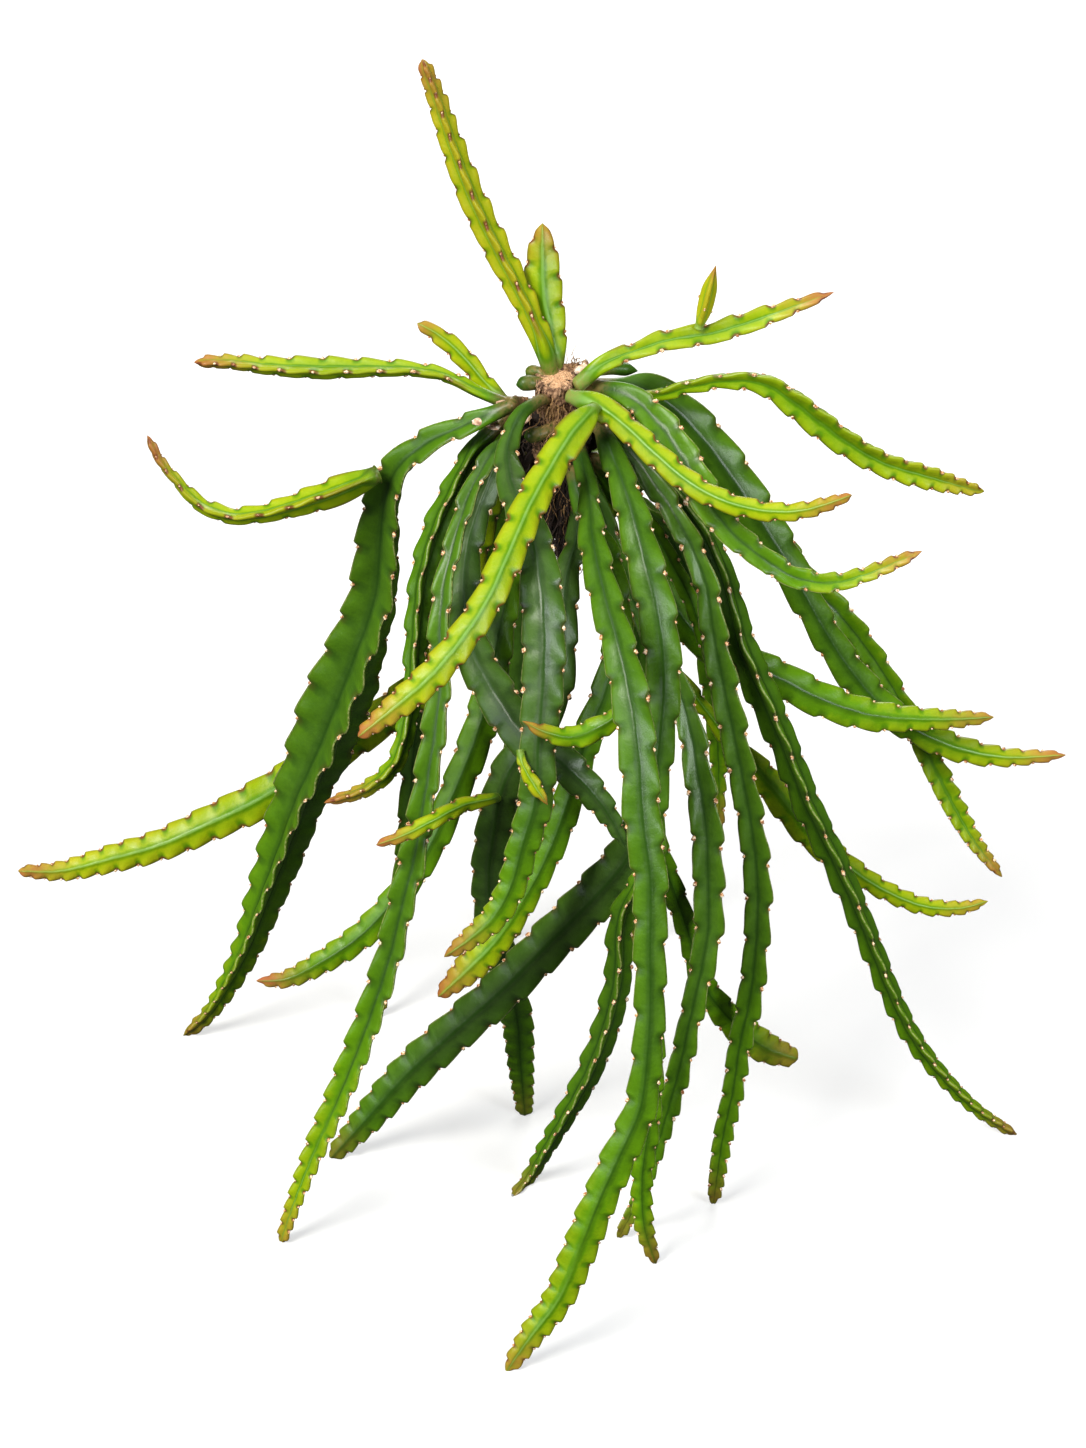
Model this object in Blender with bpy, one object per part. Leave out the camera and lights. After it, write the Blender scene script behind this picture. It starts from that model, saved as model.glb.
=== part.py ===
"""A cut clump of a flat-stemmed rhipsalis, standing on the drooping tips of its stems.

Metres, +Z up, the viewer at -Y looking along +Y and down. The origin is on the surface that the tips stand on,
under the middle of the clump. Every stem hangs from one woody crown, whose cut top is the point from which the
routes below are measured.
"""

import math
from collections import namedtuple

import bmesh
import bpy
import numpy as np
from mathutils import Vector

MM = 0.001

# The crown: where its cut top lies, and the size of its wood
CROWN = np.array((0.0130, 0.0335, 0.440))
CUT_RADIUS = 6.5 * MM
BARK_RADIUS = 9.5 * MM
COLUMN_LENGTH = 92 * MM
COLUMN_SIDES = 9
KNOB_FLARE = 1.1

# The viewer, who gives the seen points of a route their sight lines
VIEW_ELEVATION = math.radians(30)
VIEW_DISTANCE = 2.2
VIEW_ACROSS = -6.5 * MM
VIEW_UP = -173.5 * MM

# What all stems share
SEAT_GAP = 0.3 * MM
FOOT_HEIGHT = -3.0 * MM
MARGIN_THICKNESS = 1.5 * MM
RIB_THICKNESS = 3.0 * MM
RIB_SHARE = 0.12
STALK_LENGTH = 30 * MM
TOOTH_DEPTH = 0.17
SHOULDER_PHASE = 0.75
YOUNG_TIP = 0.55

RIGHT = np.array((1.0, 0.0, 0.0))
UP = np.array((0.0, math.sin(VIEW_ELEVATION), math.cos(VIEW_ELEVATION)))
NEAR = np.array((0.0, -math.cos(VIEW_ELEVATION), math.sin(VIEW_ELEVATION)))
AWAY = np.array((0.0, math.cos(VIEW_ELEVATION), math.sin(VIEW_ELEVATION)))
VIEWER = VIEW_ACROSS * RIGHT + VIEW_UP * UP + VIEW_DISTANCE * NEAR

# Colour, roughness of each kind of surface
TONES = {
    "wood": ("#8A6A4A", 0.85),
    "young": ("#A9C42A", 0.45),
    "leaf": ("#4F9A2A", 0.4),
    "mature": ("#2F6230", 0.38),
}

# Points of the crown that stalks grow from, in mm from the cut: right, back, up
ANCHORS = {
    "top": (0, 0, -8),
    "left": (-15, -1, -14),
    "right": (13, 2, -12),
    "front": (3, -6, -22),
    "low": (1, 0, -52),
    "back": (0, 5, -42),
}

# A stem: its wings, tone, crenation pitch in mm, roll at its base and tip in degrees, the crown's anchor or
# None where it grows from another stem, whether its tip stands on the surface, and its route. A seen route's
# points are (across, up, back, width) in mm: across and up from the cut as the viewer sees them, back behind
# it, and the width as seen. A point of a real route is (right, back, up, width) from the cut.
Stem = namedtuple("Stem", "name wings tone pitch roll anchor foot route")

SEEN_STEMS = (
    Stem("stem_tall", 3, "young", 17, (10, 30), "top", False, (
        (-3, 2, 1, 6), (-9, 20, 6, 13), (-19, 42, 12, 14), (-31, 65, 18, 15), (-43, 90, 24, 13),
        (-54, 119, 30, 10), (-61, 140, 33, 8), (-67, 159, 35, 5))),
    Stem("stem_upright", 2, "young", 15, (0, 0), "top", False, (
        (1, 5, 10, 6), (-2, 21, 14, 18), (-5, 38, 20, 20), (-6, 57, 26, 15), (-6, 76, 31, 8))),
    Stem("stem_short_left", 2, "young", 15, (0, 0), "left", False, (
        (-27, -11, 7, 6), (-36, 0, 9, 12), (-46, 12, 11, 14), (-57, 22, 13, 13), (-69, 29, 14, 8))),
    Stem("stem_long_left", 3, "leaf", 17, (20, 20), "left", False, (
        (-26, -12, -4, 6), (-39, -7, -3, 6), (-52, 0, -2, 7), (-68, 4, 0, 7), (-93, 5, 2, 9),
        (-118, 5, 3, 11), (-143, 6, 4, 9), (-163, 8, 5, 7), (-181, 8, 6, 5))),
    Stem("stem_left_leg", 3, "mature", 26, (-25, -15), "left", True, (
        (-23, -14, -15, 7), (-33, -17, -16, 9), (-50, -24, -13, 13), (-68, -33, -8, 15), (-81, -45, -2, 17),
        (-87, -62, 4, 20), (-90, -84, 10, 23), (-93, -111, 17, 25), (-102, -139, 24, 32), (-111, -164, 30, 40),
        (-120, -189, 36, 37), (-129, -211, 41, 31), (-139, -241, 47, 25), (-147, -264, 51, 21),
        (-154, -284, 55, 17), (-164, -304, 58, 13), (-174, -319, 61, 9), (-186, -330, 63, 7))),
    Stem("stem_curled_left", 3, "young", 16, (0, 20), None, False, (
        (-90, -49, -9, 6), (-97, -52, -12, 11), (-110, -56, -14, 15), (-128, -62, -15, 12), (-147, -67, -15, 9),
        (-163, -68, -14, 8), (-178, -62, -12, 7), (-189, -53, -10, 6), (-198, -42, -8, 5), (-204, -30, -6, 4))),
    Stem("stem_low_left", 2, "leaf", 22, (0, 0), "back", False, (
        (-16, -37, 5, 7), (-28, -48, 20, 13), (-40, -81, 34, 18), (-53, -116, 42, 20), (-65, -151, 48, 21),
        (-78, -172, 54, 21), (-103, -186, 61, 21), (-128, -199, 67, 21), (-150, -210, 69, 20),
        (-175, -222, 69, 18), (-198, -232, 66, 16), (-223, -239, 62, 14), (-248, -245, 58, 10),
        (-269, -247, 54, 5))),
    Stem("stem_front_yellow", 2, "young", 18, (0, 0), None, False, (
        (18.9, -15.8, -32.6, 6), (15, -20, -40, 9), (8, -28, -49, 15), (-2, -44, -65, 18), (-13, -64, -87, 18),
        (-24, -89, -112, 18), (-34, -111, -130, 17), (-47, -131, -144, 17), (-63, -150, -156, 16), (-79, -164, -164, 14),
        (-99, -180, -170, 7))),
    Stem("stem_right_yellow", 2, "young", 17, (0, 0), "right", False, (
        (8, -10, -17, 7), (20, -14, -26, 13), (34, -24, -38, 14), (49, -38, -52, 14), (67, -53, -66, 13),
        (84, -62, -76, 12), (104, -67, -82, 11), (122, -67, -85, 10), (137, -63, -87, 8), (148, -59, -87, 4))),
    Stem("stem_right_upper", 3, "leaf", 19, (0, 25), "right", False, (
        (12, -3, -5, 8), (23, 6, -4, 9), (38, 14, 0, 10), (57, 20, 4, 12), (77, 23, 8, 12), (97, 29, 12, 12),
        (117, 36, 14, 9), (139, 44, 16, 4))),
    Stem("stem_right_arch", 3, "leaf", 16, (0, 0), "right", False, (
        (22, -9, 6, 7), (47, -10, 0, 7), (67, -5, -2, 8), (87, -2, -4, 9), (104, -4, -6, 13),
        (117, -12, -8, 15), (129, -25, -10, 16), (144, -36, -12, 15), (164, -44, -12, 14), (187, -51, -12, 11),
        (214, -58, -12, 5))),
    Stem("stem_right_middle", 3, "leaf", 18, (0, 0), "right", False, (
        (22, -5, -1, 8), (37, -10, -12, 12), (52, -24, -26, 17), (64, -42, -40, 18), (75, -61, -52, 18),
        (89, -79, -60, 15), (104, -91, -66, 13), (119, -100, -68, 12), (137, -103, -68, 11),
        (154, -99, -66, 9), (169, -93, -64, 8), (183, -87, -62, 4))),
    Stem("stem_right_broad", 2, "mature", 24, (0, 0), "right", False, (
        (22, -4, 15, 7), (33, -5, 16, 10), (46, -7, 16, 19), (62, -19, 14, 24), (82, -41, 10, 25),
        (99, -66, 4, 24), (117, -94, -2, 23), (129, -116, -6, 22), (144, -141, -8, 22), (159, -161, -8, 20), (177, -175, -6, 17),
        (199, -185, -4, 15), (224, -190, -2, 11), (255, -189, 0, 5))),
    Stem("stem_right_back", 3, "mature", 19, (0, 0), "back", False, (
        (20, -10, 22, 7), (40, -16, 30, 12), (62, -30, 34, 15), (88, -56, 34, 17), (112, -86, 28, 18),
        (126, -102, 24, 18), (139, -114, 20, 18), (157, -136, 22, 16), (173, -161, 22, 14), (187, -191, 20, 13),
        (199, -215, 18, 12), (209, -232, 16, 9), (223, -250, 14, 4))),
    Stem("stem_right_cross", 2, "leaf", 20, (0, 0), "low", False, (
        (20, -41, -7, 7), (32, -61, -11, 12), (45, -84, -16, 17), (55, -107, -19, 18), (67, -126, -21, 19),
        (87, -140, -23, 20), (112, -150, -24, 20), (132, -160, -24, 19), (157, -168, -23, 17),
        (182, -170, -21, 13), (202, -170, -20, 10), (219, -170, -19, 5))),
    Stem("stem_right_low", 2, "young", 19, (0, 0), "low", False, (
        (15, -53, 2, 7), (28, -91, -2, 13), (47, -131, -12, 14), (67, -156, -26, 14), (79, -172, -28, 15),
        (94, -189, -28, 17), (112, -209, -26, 18), (129, -230, -24, 16), (147, -245, -22, 13),
        (164, -256, -20, 11), (184, -264, -18, 10), (202, -265, -18, 8), (216, -263, -18, 4))),
    Stem("stem_right_leg", 3, "mature", 24, (0, 10), "right", True, (
        (27, -22, 8, 7), (48, -44, -6, 11), (69, -69, -20, 12), (78, -84, -28, 13), (86, -106, -35, 14),
        (94, -134, -41, 15), (104, -161, -46, 16), (114, -187, -49, 16), (124, -213, -52, 16),
        (137, -240, -53, 16), (148, -264, -53, 15), (158, -289, -52, 14), (167, -311, -50, 13),
        (178, -332, -47, 12), (192, -350, -43, 10), (209, -365, -37, 8), (229, -378, -30, 6))),
    Stem("stem_right_dark_leg", 3, "mature", 24, (0, 0), "front", True, (
        (24, -25, -6, 7), (34, -34, -15, 11), (47, -51, -28, 13), (62, -74, -42, 13), (74, -101, -53, 13),
        (79, -131, -61, 15), (85, -161, -68, 16), (93, -196, -75, 15), (97, -226, -80, 15), (100, -256, -84, 15),
        (99, -286, -88, 14), (96, -311, -91, 14), (91, -334, -93, 13), (87, -356, -95, 12), (82, -379, -96, 11),
        (79, -399, -97, 9), (77, -414, -98, 6))),
    Stem("stem_middle_dark_leg", 3, "mature", 24, (0, 0), "low", True, (
        (15, -49, -13, 7), (24, -72, -25, 11), (34, -101, -36, 12), (46, -126, -52, 12), (57, -146, -64, 13),
        (66, -171, -76, 14), (71, -199, -88, 16), (75, -226, -97, 17), (76, -251, -104, 17), (76, -276, -110, 16),
        (72, -299, -115, 14), (67, -321, -119, 13), (62, -344, -122, 13), (56, -366, -124, 12), (49, -389, -125, 9),
        (41, -411, -126, 8), (31, -431, -127, 6))),
    Stem("stem_front_right", 2, "leaf", 24, (0, 0), "front", True, (
        (23, -27, -20, 8), (28, -39, -34, 13), (36, -61, -58, 17), (44, -91, -82, 20), (51, -121, -98, 21),
        (54, -151, -108, 19), (52, -181, -118, 17), (48, -221, -128, 16), (47, -286, -138, 15),
        (48, -341, -144, 14), (46, -376, -147, 13), (43, -401, -148, 12), (44, -424, -149, 11),
        (50, -444, -149, 6))),
    Stem("stem_front_leg", 2, "leaf", 24, (0, 0), "front", True, (
        (11, -35, -16, 8), (16, -56, -45, 11), (19, -81, -80, 14), (25, -109, -110, 16), (32, -134, -133, 17),
        (38, -161, -152, 19), (42, -191, -168, 19), (44, -221, -180, 19), (47, -251, -190, 19),
        (47, -286, -200, 18), (47, -316, -207, 17), (44, -341, -213, 17), (38, -366, -218, 18),
        (28, -389, -222, 19), (18, -411, -226, 19), (8, -436, -229, 19), (-3, -461, -232, 17),
        (-13, -480, -234, 14), (-25, -498, -236, 8))),
    Stem("stem_centre_leg", 2, "mature", 20, (0, 0), "front", False, (
        (-6, -11, -14, 8), (-18, -17, -25, 10), (-24, -31, -39, 14), (-23, -49, -57, 17), (-17, -66, -75, 19),
        (-10, -89, -95, 21), (-7, -111, -111, 23), (-6, -136, -124, 23), (-7, -161, -134, 22),
        (-9, -186, -142, 20), (-10, -211, -148, 19), (-15, -236, -152, 17), (-20, -254, -154, 16),
        (-28, -269, -155, 15), (-40, -280, -155, 12), (-54, -290, -154, 6))),
    Stem("stem_behind_centre", 2, "leaf", 20, (0, 0), "low", False, (
        (8, -47, -16, 7), (15, -69, -38, 12), (21, -91, -60, 15), (25, -131, -84, 16), (20, -156, -94, 16),
        (14, -181, -102, 16), (8, -206, -108, 16), (1, -231, -112, 16), (-10, -254, -114, 15),
        (-28, -281, -114, 17), (-43, -295, -113, 17), (-59, -310, -112, 7))),
    Stem("stem_back_short_leg", 2, "mature", 22, (0, 0), "low", True, (
        (12, -63, -9, 8), (13, -82, -30, 12), (11, -101, -48, 15), (9, -126, -65, 17), (6, -156, -78, 18),
        (-10, -180, -84, 19), (-25, -201, -86, 20), (-33, -231, -78, 20), (-35, -251, -70, 19),
        (-33, -274, -58, 18), (-27, -296, -44, 17), (-21, -321, -30, 17), (-19, -344, -20, 14),
        (-17, -368, -11, 9))),
    Stem("stem_diagonal_dark", 2, "mature", 24, (0, 0), None, True, (
        (50, -200, -119, 8), (49, -202, -113, 10), (44, -219, -106, 18), (34, -239, -100, 23),
        (17, -259, -92, 24), (-5, -281, -82, 23), (-28, -304, -74, 22), (-53, -326, -65, 21), (-75, -346, -58, 20), (-95, -368, -54, 16),
        (-114, -390, -52, 9))),
    Stem("stem_behind_front_leg", 3, "mature", 22, (0, 0), None, True, (
        (48, -243, -127, 7), (47, -245, -122, 8), (40, -255, -119, 11), (33, -271, -115, 14),
        (28, -301, -108, 15), (22, -326, -101, 15), (13, -349, -94, 14), (2, -369, -88, 12), (-8, -386, -82, 10),
        (-17, -401, -76, 8), (-22, -411, -72, 6))),
    Stem("stem_cross_dark", 2, "mature", 22, (0, 0), "left", False, (
        (-24, -31, 5, 8), (-35, -56, -8, 14), (-44, -84, -28, 16), (-46, -111, -50, 18), (-42, -136, -72, 20),
        (-30, -159, -94, 22), (-15, -180, -112, 22), (4, -194, -124, 20), (19, -209, -127, 16), (28, -222, -127, 11),
        (35, -236, -127, 4))),
    Stem("stem_left_inner_leg", 3, "leaf", 23, (0, 0), "left", True, (
        (-23, -30, -8, 7), (-33, -39, -20, 9), (-44, -59, -36, 10), (-51, -81, -52, 10), (-57, -106, -67, 11),
        (-59, -131, -79, 12), (-59, -156, -88, 13), (-62, -181, -97, 14), (-66, -206, -104, 14),
        (-71, -236, -110, 15), (-78, -264, -114, 15), (-84, -289, -117, 15), (-92, -314, -120, 15),
        (-100, -336, -122, 15), (-110, -361, -124, 14), (-121, -386, -126, 12), (-130, -409, -128, 9),
        (-138, -433, -129, 6))),
    Stem("stem_left_outer", 3, "leaf", 18, (0, 0), "left", False, (
        (-29, -24, -3, 7), (-41, -37, -10, 11), (-50, -54, -20, 14), (-60, -76, -33, 15), (-67, -101, -46, 14),
        (-70, -131, -57, 13), (-72, -156, -67, 11), (-75, -176, -76, 11), (-81, -194, -83, 10),
        (-95, -206, -88, 9), (-116, -213, -91, 4))),
    Stem("stem_left_back_low", 2, "leaf", 20, (0, 0), "low", False, (
        (-11, -51, -10, 7), (-19, -81, -17, 13), (-25, -111, -24, 15), (-29, -131, -33, 17), (-33, -156, -44, 18),
        (-40, -179, -54, 18), (-50, -204, -62, 17), (-62, -231, -70, 16), (-78, -256, -76, 15),
        (-97, -277, -80, 15), (-118, -291, -82, 13), (-135, -299, -82, 10), (-150, -302, -82, 5))),
    Stem("stem_pale_inner", 2, "leaf", 14, (0, 0), None, False, (
        (31.4, -58.8, -15.0, 5), (34, -62, -20, 7), (42, -70, -28, 9), (49, -78, -32, 10), (58, -94, -36, 10),
        (67, -111, -38, 9), (74, -131, -38, 8), (80, -149, -38, 7), (82, -164, -38, 4))),
    Stem("twig_right_upper", 3, "young", 12, (0, 0), None, False, (
        (72.5, 26.3, 4.5, 4), (75, 34, 4.5, 6), (78, 46, 4, 6), (81, 57, 3, 4))),
    Stem("twig_left", 2, "young", 13, (0, 0), None, False, (
        (-30.2, -210.2, -88.6, 5), (-33, -211, -94, 6), (-46, -214, -106, 9), (-62, -222, -120, 9),
        (-76, -229, -126, 8), (-90, -234, -129, 4))),
    Stem("twig_curled", 2, "young", 13, (0, 0), None, False, (
        (35.3, -165.7, -151.4, 6), (31, -169, -147, 8), (22, -175, -148, 13), (9, -180, -151, 12), (-4, -178, -154, 9),
        (-17, -172, -156, 4))),
    Stem("twig_tiny", 2, "young", 9, (0, 0), None, False, (
        (-17.8, -187.8, -145.1, 4), (-17, -193, -149, 5), (-11, -204, -152, 8), (-4, -214, -154, 3))),
    Stem("stem_right_short", 2, "leaf", 18, (0, 0), None, False, (
        (48, -221, -124, 6), (49, -223, -118, 7), (53, -240, -106, 11), (60, -260, -97, 12), (67, -281, -91, 12),
        (74, -304, -84, 13), (88, -322, -77, 16), (104, -335, -73, 17), (121, -341, -70, 10))),
)

CUT_STUBS = (
    Stem("cut_stub_left", 0, "leaf", 0, (0, 0), "top", False, (
        (-10, -3, 0, 7), (-14, -3, -1, 8), (-20, -4, -2, 6))),
    Stem("cut_stub_back", 0, "leaf", 0, (0, 0), "top", False, (
        (-9, 3, 6, 5), (-12, 3, 8, 6), (-15, 1, 9, 4))),
    Stem("cut_stub_right", 0, "leaf", 0, (0, 0), "right", False, (
        (22, 3, 24, 5), (28, 4, 28, 6), (34, 4, 31, 7), (41, 3, 32, 5))),
    Stem("cut_stub_low", 0, "mature", 0, (0, 0), "front", False, (
        (-7, -28, -17, 7), (-11, -29, -18, 8), (-16, -30, -18, 6))),
)

BACK_STEMS = (
    Stem("back_leg_middle", 2, "mature", 30, (0, 0), "back", True, (
        (-3, 14, -48, 8), (-4, 50, -52, 15), (-8, 98, -95, 20), (-14, 134, -178, 22), (-19, 153, -280, 20),
        (-22, 162, -370, 17), (-24, 166, -440, 9))),
    Stem("back_leg_right", 3, "mature", 30, (0, 0), "back", True, (
        (8, 14, -42, 8), (20, 52, -44, 12), (36, 100, -88, 16), (44, 132, -172, 17), (47, 146, -275, 16),
        (47, 150, -370, 13), (46, 150, -440, 7))),
    Stem("back_leg_left", 3, "mature", 30, (0, 0), "back", True, (
        (-6, 15, -34, 8), (-28, 38, -44, 12), (-51, 57, -90, 15), (-65, 68, -160, 16), (-75, 76, -240, 15),
        (-83, 81, -330, 13), (-100, 84, -440, 7))),
    Stem("back_arch", 2, "young", 21, (0, 0), "back", False, (
        (2, 15, -62, 7), (8, 46, -70, 14), (18, 92, -96, 16), (26, 130, -144, 16), (32, 156, -206, 13),
        (35, 168, -266, 5))),
    Stem("back_short_left", 2, "leaf", 22, (0, 0), "back", False, (
        (-9, 10, -58, 7), (-20, 38, -74, 14), (-32, 70, -114, 18), (-40, 92, -170, 17), (-45, 102, -226, 6))),
    Stem("back_right_low", 3, "mature", 24, (0, 0), "low", False, (
        (9, 12, -66, 8), (31, 36, -82, 12), (62, 62, -124, 15), (80, 84, -192, 15), (89, 97, -262, 12),
        (92, 102, -330, 5))),
    Stem("back_yellow", 2, "young", 21, (0, 0), "back", False, (
        (12, 12, -54, 7), (32, 46, -62, 14), (56, 90, -92, 16), (76, 126, -140, 15), (90, 152, -196, 13),
        (97, 168, -248, 5))),
)

# Hanging roots and dry husks of the crown: points from the cut (right, back, up), radii and sides
ROOTS = (
    (((0, -9, -34), (1, -12, -48), (0, -13, -62), (2, -14, -76), (3, -13, -92)), (6, 5, 4, 2.6, 1), 5),
    (((-4, -10, -36), (-5, -14, -52), (-3, -15, -70)), (1.2, 1.1, 0.7), 4),
    (((3, -10, -40), (5, -15, -55), (6, -16, -74)), (1.2, 1.1, 0.7), 4),
    (((8, -8, -18), (13, -14, -22), (15, -15, -30)), (1.4, 1.2, 0.8), 4),
    (((-9, -6, -20), (-13, -11, -26), (-14, -12, -36)), (1.4, 1.2, 0.8), 4),
    (((8, 4, -18), (14, 9, -4), (18, 10, 7)), (2.0, 1.8, 1.0), 4),
)
# Matted root and bark round the stalks: centre and half sizes
ROOT_LUMPS = (
    ((7, -5, -27), (12, 11, 12)),
    ((-10, -1, -23), (13, 9, 9)),
    ((11, 3, -19), (9, 8, 8)),
)


def unit(vector):
    return vector / np.linalg.norm(vector)


def seen_point(across, up, back):
    """Where the sight line through a seen point meets the upright plane `back` behind the cut, and how much
    larger a thing there is than it looks."""
    seen = across * RIGHT + up * UP
    stretch = (back - VIEWER[1]) / (seen[1] - VIEWER[1])
    return VIEWER + (seen - VIEWER) * stretch, stretch


def standing_point(across, up):
    """Where the sight line through a seen point meets the surface."""
    seen = across * RIGHT + up * UP
    stretch = (FOOT_HEIGHT - CROWN[2] - VIEWER[2]) / (seen[2] - VIEWER[2])
    return VIEWER + (seen - VIEWER) * stretch, stretch


def seen_route(stem):
    """The route's points and real widths, from what the viewer sees."""
    points, widths = [], []
    for index, (across, up, back, width) in enumerate(stem.route):
        standing = stem.foot and index == len(stem.route) - 1
        if standing:
            point, stretch = standing_point(across * MM, up * MM)
        else:
            point, stretch = seen_point(across * MM, up * MM, back * MM)
        points.append(point + CROWN)
        widths.append(width * stretch * MM)
    return np.array(points), np.array(widths)


def real_route(stem):
    points = np.array([point[:3] for point in stem.route], float) * MM + CROWN
    if stem.foot:
        points[-1, 2] = FOOT_HEIGHT
    return points, np.array([point[3] for point in stem.route], float) * MM


class Path:
    """A smooth curve through a route's points, read by the distance along it."""

    STEP = 1.5 * MM

    def __init__(self, points, widths, facing, roll):
        knots = np.concatenate(([0], np.cumsum(np.linalg.norm(np.diff(points, axis=0), axis=1) ** 0.5)))
        fine = np.linspace(0, knots[-1], 600)
        line = self.spline(knots, points, fine)
        along = np.concatenate(([0], np.cumsum(np.linalg.norm(np.diff(line, axis=0), axis=1))))
        self.length = along[-1]
        count = max(12, int(self.length / self.STEP))
        self.along = np.linspace(0, self.length, count)
        self.line = np.stack([np.interp(self.along, along, line[:, axis]) for axis in range(3)], 1)
        self.width = np.interp(self.along, along, self.spline(knots, widths[:, None], fine)[:, 0])
        self.tangent = np.gradient(self.line, self.along, axis=0)
        self.tangent /= np.linalg.norm(self.tangent, axis=1)[:, None]
        side = np.cross(self.tangent, facing)
        side /= np.linalg.norm(side, axis=1)[:, None]
        front = np.cross(side, self.tangent)
        turn = np.radians(np.linspace(roll[0], roll[1], count))[:, None]
        self.side = side * np.cos(turn) + front * np.sin(turn)
        self.front = front * np.cos(turn) - side * np.sin(turn)

    @staticmethod
    def spline(knots, values, at):
        """Catmull-Rom through values at knots, with slopes from each point's two neighbours."""
        slopes = np.gradient(values, knots, axis=0)
        index = np.clip(np.searchsorted(knots, at, side="right") - 1, 0, len(knots) - 2)
        gap = (knots[index + 1] - knots[index])[:, None]
        t = (at - knots[index])[:, None] / gap
        return (
            values[index] * (2 * t**3 - 3 * t**2 + 1)
            + slopes[index] * gap * (t**3 - 2 * t**2 + t)
            + values[index + 1] * (3 * t**2 - 2 * t**3)
            + slopes[index + 1] * gap * (t**3 - t**2)
        )

    def read(self, values, distance):
        return np.array([np.interp(distance, self.along, values[:, axis]) for axis in range(3)])

    def at(self, distance):
        """Centre, side and front direction and width at a distance from the base."""
        return (
            self.read(self.line, distance),
            unit(self.read(self.side, distance)),
            unit(self.read(self.front, distance)),
            np.interp(distance, self.along, self.width),
        )


def path_of(stem):
    if stem in BACK_STEMS:
        points, widths = real_route(stem)
        return Path(points, widths, AWAY, stem.roll)
    points, widths = seen_route(stem)
    return Path(points, widths, NEAR, stem.roll)


def teeth(length, pitch):
    """The distances at which a stem's crenations begin, closer together towards its tip."""
    marks = [min(STALK_LENGTH, 0.3 * length)]
    while True:
        near_tip = min(max((marks[-1] / length - 0.6) / 0.4, 0), 1)
        step = pitch * (1 - (1 - YOUNG_TIP) * near_tip)
        if marks[-1] + 1.35 * step > length:
            return marks
        marks.append(marks[-1] + step)


def winged(distance, length, wings):
    """How far the round stalk has turned into wings, from 0 to 1."""
    t = min(distance / min(STALK_LENGTH, 0.3 * length), 1)
    return t * t * (3 - 2 * t) if wings else 0.0


def rail_point(path, rail, distance, share, wings):
    """A point of one rail of a stem's section, where share is the crenation's part of the full width."""
    centre, side, front, width = path.at(distance)
    wing = winged(distance, path.length, wings)
    kind, angle = rail
    radius = width / 2
    if kind == "margin":
        lip = (MARGIN_THICKNESS / 2) * wing + 0.5 * radius * (1 - wing)
        return centre + side * radius * share * math.copysign(1, math.cos(angle)) + front * lip * math.copysign(
            1, math.sin(angle)
        )
    if kind == "rib":
        rise = (RIB_THICKNESS + RIB_SHARE * width) / 2
        rise = min(rise, radius) * wing + radius * (1 - wing)
        return centre + front * rise * math.copysign(1, math.sin(angle))
    outward = front * math.cos(angle) + side * math.sin(angle)
    reach = radius / math.sin(math.radians(60))
    if kind == "tip":
        return centre + outward * (reach * wing + radius * (1 - wing)) * share
    core = (RIB_THICKNESS + RIB_SHARE * width) / 2 * 0.9
    return centre + outward * (min(core, radius) * wing + radius * (1 - wing))


def rails_of(wings):
    """(kind, angle, phase) of each rail round the section. A phase says where its areoles lie in the pitch."""
    if wings == 2:
        above, below = math.radians(1), math.radians(-1)
        return (
            ("margin", above, 0.0),
            ("rib", math.pi / 2, None),
            ("margin", math.pi - above, 0.5),
            ("margin", math.pi + above, 0.5),
            ("rib", -math.pi / 2, None),
            ("margin", below, 0.0),
        )
    third = math.radians(120)
    return (
        ("tip", 0.0, 0.25),
        ("valley", third / 2, None),
        ("tip", third, 0.0),
        ("valley", 1.5 * third, None),
        ("tip", 2 * third, 0.5),
        ("valley", 2.5 * third, None),
    )


def crenation(phase, half):
    """Phase and share of width of a rail's vertex in the first or second half of a pitch."""
    if phase is None:
        return 0.1 + 0.5 * half, 1.0
    if phase < 1 - SHOULDER_PHASE:
        return (phase + SHOULDER_PHASE, 1.0) if half else (phase, 1 - TOOTH_DEPTH)
    return (phase, 1 - TOOTH_DEPTH) if half else (phase - 1 + SHOULDER_PHASE, 1.0)


def stem_rings(stem, path):
    """Each ring's vertices, from the base to the tip."""
    rails = rails_of(stem.wings)

    def ring_at(distance, share):
        return [rail_point(path, rail[:2], distance, share, stem.wings) for rail in rails]

    if not stem.wings:
        return [ring_at(path.length * along, share) for along, share in ((0, 1), (0.5, 1), (0.85, 0.9), (1, 0.5))]
    marks = teeth(path.length, stem.pitch * MM)
    rings = [ring_at(0.0, 1.0), ring_at(marks[0] / 2, 1.0)]
    for start, end in zip(marks, marks[1:]):
        for half in (0, 1):
            ring = []
            for rail in rails:
                phase, share = crenation(rail[2], half)
                ring.append(rail_point(path, rail[:2], start + phase * (end - start), share, stem.wings))
            rings.append(ring)
    last = path.length - marks[-1]
    rings += [ring_at(marks[-1] + 0.35 * last, 0.95), ring_at(marks[-1] + 0.8 * last, 0.6)]
    return rings


def add_rings(mesh, rings, tip):
    """Skins a tube of rings, with a flat base and a point at its tip."""
    rows = [[mesh.verts.new(point) for point in ring] for ring in rings]
    mesh.faces.new(rows[0][::-1])
    for lower, upper in zip(rows, rows[1:]):
        for i in range(len(lower)):
            j = (i + 1) % len(lower)
            mesh.faces.new((lower[i], lower[j], upper[j], upper[i]))
    if tip is None:
        mesh.faces.new(rows[-1])
        return
    end = mesh.verts.new(tip)
    for i in range(len(rows[-1])):
        mesh.faces.new((rows[-1][i], rows[-1][(i + 1) % len(rows[-1])], end))


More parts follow.
